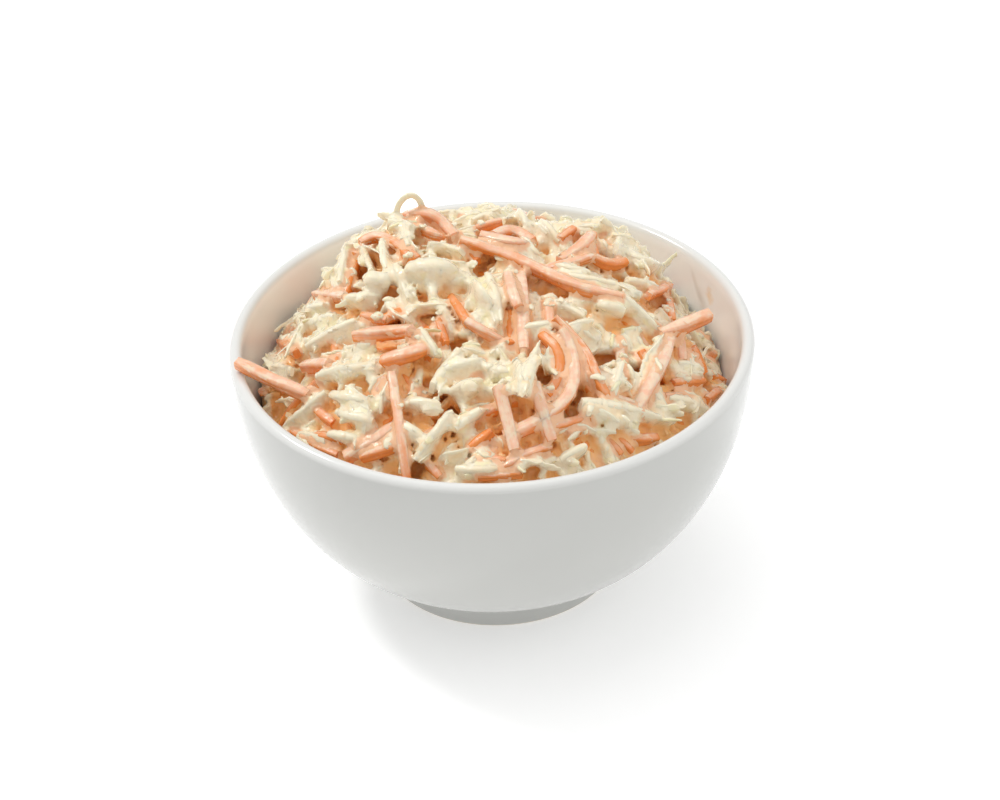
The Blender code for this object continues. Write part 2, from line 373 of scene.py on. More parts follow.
class GeometryTree(Graph):
    """A Geometry Nodes tree with named inputs, applied to a mesh as a plain new mesh."""

    def __init__(self, name: str, sizes: dict[str, float]) -> None:
        """Starts a tree.

        Args:
            name: The tree's name.
            sizes: The names and values of its number inputs.
        """
        super().__init__(bpy.data.node_groups.new(name, "GeometryNodeTree"))
        face = self.tree.interface
        face.new_socket(name="Geometry", in_out="INPUT", socket_type="NodeSocketGeometry")
        face.new_socket(name="Geometry", in_out="OUTPUT", socket_type="NodeSocketGeometry")
        self.sizes = sizes
        self.sockets = {
            size: face.new_socket(name=size, in_out="INPUT", socket_type="NodeSocketFloat")
            for size in sizes
        }
        self.entry = self.tree.nodes.new("NodeGroupInput")
        self.exit = self.tree.nodes.new("NodeGroupOutput")

    def given(self, name: str) -> Socket:
        """One of the tree's inputs."""
        return Socket(self, self.entry.outputs[name])

    def attribute(self, name: str, kind: str = "FLOAT") -> Socket:
        """A named attribute of the mesh."""
        return self.node("GeometryNodeInputNamedAttribute", {"data_type": kind}, {"Name": name})

    def stored(self, geometry: Socket, name: str, value: Socket) -> Socket:
        """A geometry whose points carry a number."""
        return self.node(
            "GeometryNodeStoreNamedAttribute",
            {"data_type": "FLOAT", "domain": "POINT"},
            {"Geometry": geometry, "Name": name, "Value": value},
        )

    def torn(self, geometry: Socket, size: Socket, detail: float, depth: Socket) -> Socket:
        """A geometry whose points are pushed out of line.

        Args:
            geometry: What is torn.
            size: The size of the tears.
            detail: How much smaller tears there are in them.
            depth: How far apart the most pushed points lie.

        Returns:
            The torn geometry.
        """
        push = self.noise(self.node("GeometryNodeInputPosition"), 1 / size, detail, "Color")
        centred = self.node(
            "ShaderNodeVectorMath", {"operation": "SUBTRACT"}, {0: push, 1: (0.5, 0.5, 0.5)}
        )
        offset = self.scaled(centred, depth)
        return self.node("GeometryNodeSetPosition", {}, {"Geometry": geometry, "Offset": offset})

    def close(self, geometry: Socket, material: bpy.types.Material) -> None:
        """Ends the tree in smooth shading, Realize Instances and Set Material."""
        whole = self.node("GeometryNodeRealizeInstances", {}, {"Geometry": geometry})
        shaded = self.node(
            "GeometryNodeSetShadeSmooth", {}, {"Geometry": whole, "Shade Smooth": True}
        )
        dressed = self.node(
            "GeometryNodeSetMaterial", {}, {"Geometry": shaded, "Material": material}
        )
        self.tree.links.new(dressed.socket, self.exit.inputs[0])

    def apply(self, guide: bpy.types.Object) -> bpy.types.Mesh:
        """Runs the tree on an object, sets its inputs by identifier, and returns the plain mesh."""
        modifier = guide.modifiers.new(self.tree.name, "NODES")
        modifier.node_group = self.tree
        for name, value in self.sizes.items():
            modifier[self.sockets[name].identifier] = value
        guide.update_tag()
        bpy.context.view_layer.update()
        evaluated = guide.evaluated_get(bpy.context.evaluated_depsgraph_get())
        mesh = bpy.data.meshes.new_from_object(evaluated)
        guide.modifiers.remove(modifier)
        return mesh


# Finishes


@dataclass(frozen=True)
class Porcelain:
    """White glazed porcelain, bare and matt under the foot ring; painted shade outside, painted
    light inside.
    """

    # Painted shade: the outer glaze is made grey; the inner and lip glazes below are painted light
    shaded_outer_glaze: Colour = (0.52, 0.523, 0.50)
    lit_lip_glaze: Colour = (0.74, 0.74, 0.715)
    lit_inner_glaze: Colour = (0.93, 0.95, 0.96)
    lip_heights: tuple[float, float] = (71.6 * MM, 73.2 * MM)
    bare: Colour = (0.72, 0.68, 0.61)
    bare_height: float = 0.8 * MM
    shade: float = 0.965
    shading: Mask = Mask(30 * MM, levels=(0.3, 0.7), strength=0.5)
    ripple_size: float = 14 * MM
    ripple_depth: float = 0.025 * MM
    dull: float = 0.62
    polish: float = 0.5
    wear: Mask = Mask(3 * MM, noise=0.06)
    # Warm film low on the inner wall: partly dressing, partly painted warm bounce and shade from
    # the heap
    film_and_warm_bounce: Colour = (0.80, 0.60, 0.42)
    film_and_bounce_heights: tuple[float, float] = (50 * MM, 65 * MM)
    film_and_bounce_weight: float = 0.34
    lit_side_loss: float = 0.32
    lit_side_loss_across: tuple[float, float] = (-30 * MM, 40 * MM)
    smear: Colour = (0.90, 0.76, 0.60)
    smear_size: float = 3.4 * MM
    smear_grain: float = 2.2 * MM
    smear_edge: tuple[float, float] = (0.7, 1.4)
    smears: tuple[tuple[float, float, float], ...] = (
        (59.5 * MM, 26 * MM, 66 * MM),
        (64.4 * MM, -8 * MM, 66 * MM),
        (64.6 * MM, -4 * MM, 69 * MM),
    )

    def material(self) -> bpy.types.Material:
        """The glaze: ripple, tone, painted shade outside, painted light inside and on the lip, and
        food marks.
        """
        shader = Shader("glazed porcelain", self.shaded_outer_glaze)
        height = shader.node("ShaderNodeSeparateXYZ", {}, {"Vector": shader.place}, output="Z")
        glazed = height.above(0.5 * self.bare_height, self.bare_height)
        darker = tuple(self.shade * part for part in self.shaded_outer_glaze)
        white = shader.mix(shader.masked(self.shading), self.shaded_outer_glaze, darker)
        inside = shader.attribute("inside")
        # Painted light: the inside is made much whiter than the outside
        white = shader.mix(inside, white, self.lit_inner_glaze)
        # Painted light along the lip
        white = shader.mix(height.above(*self.lip_heights), white, self.lit_lip_glaze)
        white = self.soiled_and_shaded(shader, white, height, inside)
        return shader.finish(
            Base_Color=shader.mix(glazed, self.bare, white),
            Roughness=self.dull - glazed * self.polish + shader.summed(self.wear),
            Normal=shader.bump(shader.grain(self.ripple_size, 1.0), self.ripple_depth),
            IOR=GLAZE_IOR,
        )

    def soiled_and_shaded(self, shader: Shader, white: Socket, height: Socket, inside: Socket) -> Socket:
        """The glaze's colour with smears, and a warm film that is partly painted shade, thinning to
        the lit right.
        """
        right = shader.node("ShaderNodeSeparateXYZ", {}, {"Vector": shader.place}, output="X")
        # Partly dressing film, partly painted warm bounce and shade, less on the right wall that
        # the key lights
        film_and_warm_bounce = self.film_and_bounce_weight - right.above(*self.lit_side_loss_across) * self.lit_side_loss
        film_and_bounce_mask = (1.0 - height.above(*self.film_and_bounce_heights)) * inside * film_and_warm_bounce
        white = shader.mix(film_and_bounce_mask, white, self.film_and_warm_bounce)
        ragged = shader.grain(self.smear_grain, 3.0) * self.smear_size
        start, end = (share * self.smear_size for share in self.smear_edge)
        for centre in self.smears:
            far = shader.node(
                "ShaderNodeVectorMath",
                {"operation": "DISTANCE"},
                {0: shader.place, 1: centre},
                output="Value",
            )
            clear = (far + ragged).above(start, end)
            white = shader.mix((1.0 - clear) * inside, white, self.smear)
        return white


@dataclass(frozen=True)
class CoatedCarrot:
    """Carrot under a thin coat of dressing, bare orange where the coat is rubbed off."""

    bare: Colour = (0.84, 0.27, 0.06)
    coated: Colour = (0.86, 0.52, 0.35)
    cream: Colour = (0.88, 0.70, 0.52)
    streaks: int = 9
    streak_length: float = 9 * MM
    coat: Mask = Mask(3 * MM, 3.0, 0.6, 0.6, (("up", 0.35), ("tone", -0.75)), (0.15, 0.75))
    # Cream streaks, partly real dressing and partly a painted highlight, a little more on top faces
    cream_and_highlight_streaks: Mask = Mask(2.4 * MM, 2.0, 1.0, 0.8, (("up", 0.2), ("tone", -0.35)), (0.86, 1.2), 0.8)
    roughness: float = 0.22
    wetness: float = 0.06
    ridges: Mask = Mask(1.1 * MM, noise=0.5, streaks=0.7)
    relief: float = 0.34 * MM

    def material(self) -> bpy.types.Material:
        """The carrot's colours, from bare to well coated, by uneven masks, with cream partly as
        painted highlight.
        """
        shader = Shader("coated carrot", self.coated)
        streaks = shader.streaks(self.streaks, self.streak_length)
        coat = shader.summed(self.coat, streaks)
        colour = shader.mix(coat.above(*self.coat.levels), self.bare, self.coated)
        colour = shader.mix(shader.masked(self.cream_and_highlight_streaks, streaks), colour, self.cream)
        return shader.moist(
            # Painted warm shade in the heap's hollows
            shader.with_painted_shade(colour, PAINTED_SHADE_CARROT),
            self.roughness - coat * self.wetness,
            shader.bump(shader.summed(self.ridges, streaks), self.relief),
            CARROT_GLOW,
        )


@dataclass(frozen=True)
class CoatedCabbage:
    """White cabbage, pale yellow green in places, under the dressing."""

    white: Colour = (0.89, 0.81, 0.61)
    green: Colour = (0.85, 0.78, 0.48)
    warm: Colour = (0.86, 0.68, 0.44)
    veins: int = 7
    vein_length: float = 7 * MM
    green_patches: Mask = Mask(4 * MM, 2.0, 0.5, 0.25, (("tone", 0.5),), (0.6, 0.95), 0.8)
    warm_patches: Mask = Mask(9 * MM, 3.0, streaks=0.2, levels=(0.55, 0.85), strength=0.6)
    roughness: float = 0.1
    dull_spots: Mask = Mask(1.2 * MM, noise=0.14)
    ridges: Mask = Mask(1.0 * MM, 4.0, noise=0.6, streaks=0.5)
    relief: float = 0.26 * MM

    def material(self) -> bpy.types.Material:
        """The cabbage's colours by shred and by place."""
        shader = Shader("coated cabbage", self.white)
        veins = shader.streaks(self.veins, self.vein_length)
        colour = shader.mix(shader.masked(self.warm_patches, veins), self.white, self.warm)
        colour = shader.mix(shader.masked(self.green_patches, veins), colour, self.green)
        return shader.moist(
            # Painted warm shade in the heap's hollows
            shader.with_painted_shade(colour, PAINTED_SHADE_PALE),
            self.roughness + shader.summed(self.dull_spots),
            shader.bump(shader.summed(self.ridges, veins), self.relief),
            CABBAGE_GLOW,
        )


@dataclass(frozen=True)
class Dressing:
    """The creamy dressing, tinted where carrot lies close under it."""

    cream: Colour = (0.90, 0.81, 0.61)
    pale_green: Colour = (0.86, 0.77, 0.47)
    warm: Colour = (0.90, 0.69, 0.43)
    tinted: Colour = (0.87, 0.52, 0.31)
    green_patches: Mask = Mask(5 * MM, 3.0, levels=(0.5, 0.66), strength=0.8)
    warm_patches: Mask = Mask(7 * MM, 3.0, levels=(0.5, 0.68), strength=0.75)
    tint: Mask = Mask(3 * MM, noise=0.5, attributes=(("carrot", 1.0),), levels=(0.45, 1.2))
    roughness: float = 0.08
    dull_spots: Mask = Mask(1.5 * MM, noise=0.14)
    ridges: Mask = Mask(1.3 * MM, 3.0)
    relief: float = 0.34 * MM

    def material(self) -> bpy.types.Material:
        """Cream mixed with the carrot's colour by the attribute that measures how near it is."""
        shader = Shader("dressing", self.cream)
        colour = shader.mix(shader.masked(self.green_patches), self.cream, self.pale_green)
        colour = shader.mix(shader.masked(self.warm_patches), colour, self.warm)
        colour = shader.mix(shader.masked(self.tint), colour, self.tinted)
        return shader.moist(
            # Painted warm shade in the heap's hollows
            shader.with_painted_shade(colour, PAINTED_SHADE_PALE),
            self.roughness + shader.summed(self.dull_spots),
            shader.bump(shader.summed(self.ridges), self.relief),
            CABBAGE_GLOW,
        )


@dataclass(frozen=True)
class Paper:
    """The pale floor."""

    white: Colour = (0.97, 0.97, 0.97)
    grey: Colour = (0.95, 0.95, 0.95)
    glow: float = 0.26
    fibres: Mask = Mask(5 * MM, noise=0.2)
    roughness: float = 0.9
    sheen: float = 0.1

    def material(self) -> bpy.types.Material:
        """Matt white with the faintest grain."""
        shader = Shader("pale floor", self.white)
        return shader.finish(
            Base_Color=shader.mix(shader.summed(self.fibres), self.white, self.grey),
            Roughness=self.roughness,
            Specular_IOR_Level=self.sheen,
            Emission_Color=self.white,
            Emission_Strength=self.glow,
        )


# The bowl


def arc(middle: tuple[float, float], radius: float, turns: np.ndarray) -> np.ndarray:
    """Rows of radius and height along an arc of the bowl's section."""
    return np.stack(
        (middle[0] + radius * np.cos(turns), middle[1] + radius * np.sin(turns)), -1
    )


@dataclass(frozen=True)
class BowlForm:
    """The bowl's turned section, which the heap's edge follows too."""

    rim_radius: float
    height: float
    floor_curve_radius: float = 18.6 * MM
    underside: float = 6.8 * MM
    side_fullness: float = 2.29
    side_depth: float = 1.95
    rim_wall: float = 3.5 * MM
    floor_wall: float = 4.6 * MM
    foot_radius: float = 33 * MM
    foot_width: float = 3.8 * MM
    foot_edge: float = 0.7 * MM
    recess_height: float = 5.6 * MM
    recess_slope: tuple[float, float] = (0.2 * MM, 1.2 * MM)
    recess_edge: float = 1.4 * MM
    side_points: int = 44
    lip_points: int = 9
    edge_points: int = 5
    fine_points: int = 2000
    turn_steps: int = 180

    def side(self, turn: np.ndarray, depth: Union[float, np.ndarray]) -> np.ndarray:
        """The side in section, a depth into the wall.

        Args:
            turn: Places down the side, from 0 at the rim to 1 at the floor.
            depth: How deep in the wall, measured square to it.

        Returns:
            Rows of radius and height.
        """

        def outside(share: np.ndarray) -> np.ndarray:
            """The outer face."""
            angle = np.clip(share, 0, 1) * math.pi / 2
            across = np.maximum(np.cos(angle), 0) ** (2 / self.side_fullness)
            down = np.maximum(np.sin(angle), 0) ** (2 / self.side_depth)
            return np.stack(
                (
                    self.floor_curve_radius + (self.rim_radius - self.floor_curve_radius) * across,
                    self.height - (self.height - self.underside) * down,
                ),
                -1,
            )

        turn = np.asarray(turn, float)
        along = outside(turn + 1e-3) - outside(turn - 1e-3)
        inward = np.stack((along[..., 1], -along[..., 0]), -1)
        inward /= np.linalg.norm(inward, axis=-1, keepdims=True)
        return outside(turn) + inward * np.asarray(depth)[..., None]

    def wall(self, turn: np.ndarray) -> np.ndarray:
        """The wall's thickness, which grows from the rim to the floor."""
        return self.rim_wall + (self.floor_wall - self.rim_wall) * np.asarray(turn)

    def inner_radius(self, height: Union[float, np.ndarray], clearance: float) -> np.ndarray:
        """The radius of the space in the bowl at a height, a clearance inside the wall."""
        turn = np.linspace(0, 1, 400)
        inner = self.side(turn, self.wall(turn) + clearance)[::-1]
        top = self.height - self.rim_wall / 2
        return np.interp(np.minimum(height, top), inner[:, 1], inner[:, 0])

    def profile(self) -> list[tuple[float, float]]:
        """The closed section, from the middle of the inner floor to the middle underneath."""
        lip = self.rim_wall / 2
        turn = np.linspace(0, 1, self.fine_points)
        outer = self.side(turn, 0)
        lip_turn = float(turn[np.argmax(outer[:, 1] < self.height - lip)])
        foot_turn = float(turn[np.argmax(outer[:, 0] < self.foot_radius)])
        inward = np.linspace(1, lip_turn, self.side_points)
        inside = self.side(inward, self.wall(inward))
        over_lip = np.linspace(math.pi, 0, 2 * self.lip_points + 1)[1:-1]
        over = arc((self.rim_radius - lip, self.height - lip), lip, over_lip)
        outside = self.side(np.linspace(lip_turn, foot_turn, self.side_points), 0)
        inner_foot = self.foot_radius - self.foot_width
        edge = self.foot_edge
        quarter = np.linspace(0, math.pi / 2, self.edge_points)
        outer_edge = arc((self.foot_radius - edge, edge), edge, -quarter)
        inner_edge = arc((inner_foot + edge, edge), edge, -math.pi / 2 - quarter)
        middle = [(0.0, float(inside[0, 1]))]
        inward_step, down_step = self.recess_slope
        under = [
            (inner_foot - inward_step, self.recess_height - down_step),
            (inner_foot - self.recess_edge, self.recess_height),
            (0.0, self.recess_height),
        ]
        rows = np.vstack((inside, over, outside, outer_edge, inner_edge))
        return middle + [tuple(map(float, row)) for row in rows] + under


@dataclass(frozen=True)
class Bowl:
    """The porcelain bowl, turned from its section."""

    form: BowlForm
    merge: float = 0.02 * MM

    def build(self) -> bpy.types.Object:
        """Makes the bowl.

        Returns:
            The finished bowl.
        """
        points = [(radius, 0.0, height) for radius, height in self.form.profile()]
        mesh = bpy.data.meshes.new("section")
        mesh.from_pydata(points, [(n, n + 1) for n in range(len(points) - 1)], [])
        section = new_object("porcelain_bowl", mesh)
        screw = section.modifiers.new("Turn", "SCREW")
        screw.steps = screw.render_steps = self.form.turn_steps
        screw.use_merge_vertices = True
        screw.merge_threshold = self.merge
        screw.use_smooth_shade = True
        section.data = bpy.data.meshes.new_from_object(
            section.evaluated_get(bpy.context.evaluated_depsgraph_get())
        )
        section.modifiers.remove(screw)
        section.data.materials.append(Porcelain().material())
        places = np.array([vertex.co for vertex in section.data.vertices])
        around = np.hypot(places[:, 0], places[:, 1])
        middle = self.form.inner_radius(places[:, 2], -self.form.rim_wall / 2)
        set_points(section.data, "inside", "FLOAT", around < middle)
        return section


# The view


@dataclass(frozen=True)
class View:
    """The photograph's view: from the front, above the rim, turned a little about its own axis."""

    target: tuple[float, float, float] = (1.67 * MM, 0.0, 51.87 * MM)
    distance: float = 751.7 * MM
    elevation: float = math.radians(34.54)
    roll: float = math.radians(2.07)
    lens: float = 100.0
    sensor: float = 36.0
    frame: tuple[int, int] = (1000, 800)

    def axes(self) -> tuple[Vector, Vector, Vector]:
        """The frame's right and up, and the way that the camera looks."""
        forward = Vector((0, math.cos(self.elevation), -math.sin(self.elevation)))
        turn = Matrix.Rotation(self.roll, 3, forward)
        up = Vector((0, math.sin(self.elevation), math.cos(self.elevation)))
        return turn @ Vector((1, 0, 0)), turn @ up, forward

    def eye(self) -> Vector:
        """Where the camera stands."""
        return Vector(self.target) - self.axes()[2] * self.distance

    def at_height(self, seen: np.ndarray, heights: np.ndarray) -> np.ndarray:
        """The places in plan, each at its own height, that are seen at points in the frame."""
        across, up, forward = (np.array(axis) for axis in self.axes())
        focus = self.lens / self.sensor * self.frame[0]
        eye = np.array(self.eye())
        right = (seen[:, 0] - self.frame[0] / 2) / focus
        above = (self.frame[1] / 2 - seen[:, 1]) / focus
        ray = forward + right[:, None] * across + above[:, None] * up
        far = (heights - eye[2]) / ray[:, 2]
        return eye[:2] + ray[:, :2] * far[:, None]

    def in_upright(self, seen: np.ndarray, y: float) -> np.ndarray:
        """The places in an upright plane across the view that are seen at points in the frame."""
        low = np.column_stack((self.at_height(seen, np.zeros(len(seen))), np.zeros(len(seen))))
        eye = np.array(self.eye())
        return eye + (low - eye) * ((y - eye[1]) / (low[:, 1] - eye[1]))[:, None]

    def camera(self) -> None:
        """Sets up the camera."""
        data = bpy.data.cameras.new("camera")
        data.lens, data.sensor_width = self.lens, self.sensor
        camera = bpy.data.objects.new("camera", data)
        bpy.context.scene.collection.objects.link(camera)
        across, up, forward = self.axes()
        place = Matrix((across, up, -forward)).transposed().to_4x4()
        place.translation = self.eye()
        camera.matrix_world = place
        bpy.context.scene.camera = camera


# The heap


@dataclass(frozen=True)
class HeapForm:
    """The heap's even form: its rise, its edge against the bowl, its clumps and its lumps."""

    bowl: BowlForm
    rise: float = 16 * MM
    edge: float = 10 * MM
    side_drop: float = 11 * MM
    fullness: float = 3.4
    lean: float = 0.10
    lump_size: float = 10 * MM
    lump_height: float = 4.4 * MM
    fine_lumps: float = 2.3
    fine_share: float = 0.4
    gap: float = 0.45 * MM
    filled: float = 0.93
    # In mm: middle x and y, radius, height
    clumps: tuple[tuple[float, float, float, float], ...] = (
        (-27, 36, 13, 6.5),
        (35, 27, 13, 7),
        (3, 34, 9, 3),
        (-41, 28, 8, 4),
        (-59, 17, 7, 4),
        (56, 26, 11, -4),
        (50, -8, 10, 4),
        (-38, -14, 12, 2),
        (-20, 2, 13, 2),
        (10, -12, 14, 1.5),
        (20, 12, 12, 1),
        (-26, -34, 12, 2),
        (30, -36, 11, 2),
        (2, -46, 12, 1.5),
        (58, 6, 10, -9),
    )

    def filled_radius(self) -> float:
        """How far out shreds are laid."""
        return self.filled * self.bowl.rim_radius

    def lumps(self, x: np.ndarray, y: np.ndarray) -> np.ndarray:
        """The uneven relief on the heap, in two sizes."""
        scale = 1 / self.lump_size
        places = [Vector((a * scale, b * scale, 0)) for a, b in zip(x.ravel(), y.ravel())]
        relief = [
            noise.noise(place) + self.fine_share * noise.noise(self.fine_lumps * place)
            for place in places
        ]
        return self.lump_height * np.array(relief).reshape(x.shape)

    def height(self, x: np.ndarray, y: np.ndarray) -> np.ndarray:
        """The height of the heap over points in plan."""
        around = np.hypot(x, y)
        across = np.where(around > 0, x / np.maximum(around, 1e-9), 0)
        drop = self.edge + self.side_drop * across**2
        reach = around / self.bowl.inner_radius(self.bowl.height - drop, self.gap)
        reach = np.minimum(reach, 1)
        height = self.bowl.height - drop + (self.rise + drop) * (1 - reach**self.fullness)
        height += self.lean * y * (1 - reach**2)
        extra = self.lumps(x, y)
        for middle_x, middle_y, radius, rise in self.clumps:
            far = np.hypot(x - middle_x * MM, y - middle_y * MM) / (radius * MM)
            extra += rise * MM * np.exp(-(far**2))
        return height + extra * (1 - reach**8)


@dataclass(frozen=True)
class Shred:
    """A shred that shows in the photograph.

    Its path is read off the photograph, in the photograph's frame of 1000 by 800. Its width, its
    lifts above its rest and, where they are given, the levels of its ends are in mm. The width of
    its tip is a share of its own.
    """

    width: float
    path: tuple[tuple[float, float], ...]
    lift: float = 0
    start_lift: float = 0
    end_lift: float = 0
    level: Optional[tuple[float, float]] = None
    tip: float = 1
    cut: Cut = Cut.CARROT
    bare: float = 0.3


def cabbage(width: float, *path: tuple[float, float], **more: Any) -> Shred:
    """A thick shred of cabbage."""
    return Shred(width, path, cut=Cut.RIB, **more)


def leaf(width: float, *path: tuple[float, float], **more: Any) -> Shred:
    """A thin shred of cabbage."""
    return Shred(width, path, cut=Cut.LEAF, **more)


def carrot(width: float, *path: tuple[float, float], **more: Any) -> Shred:
    """A stick of carrot."""
    return Shred(width, path, **more)


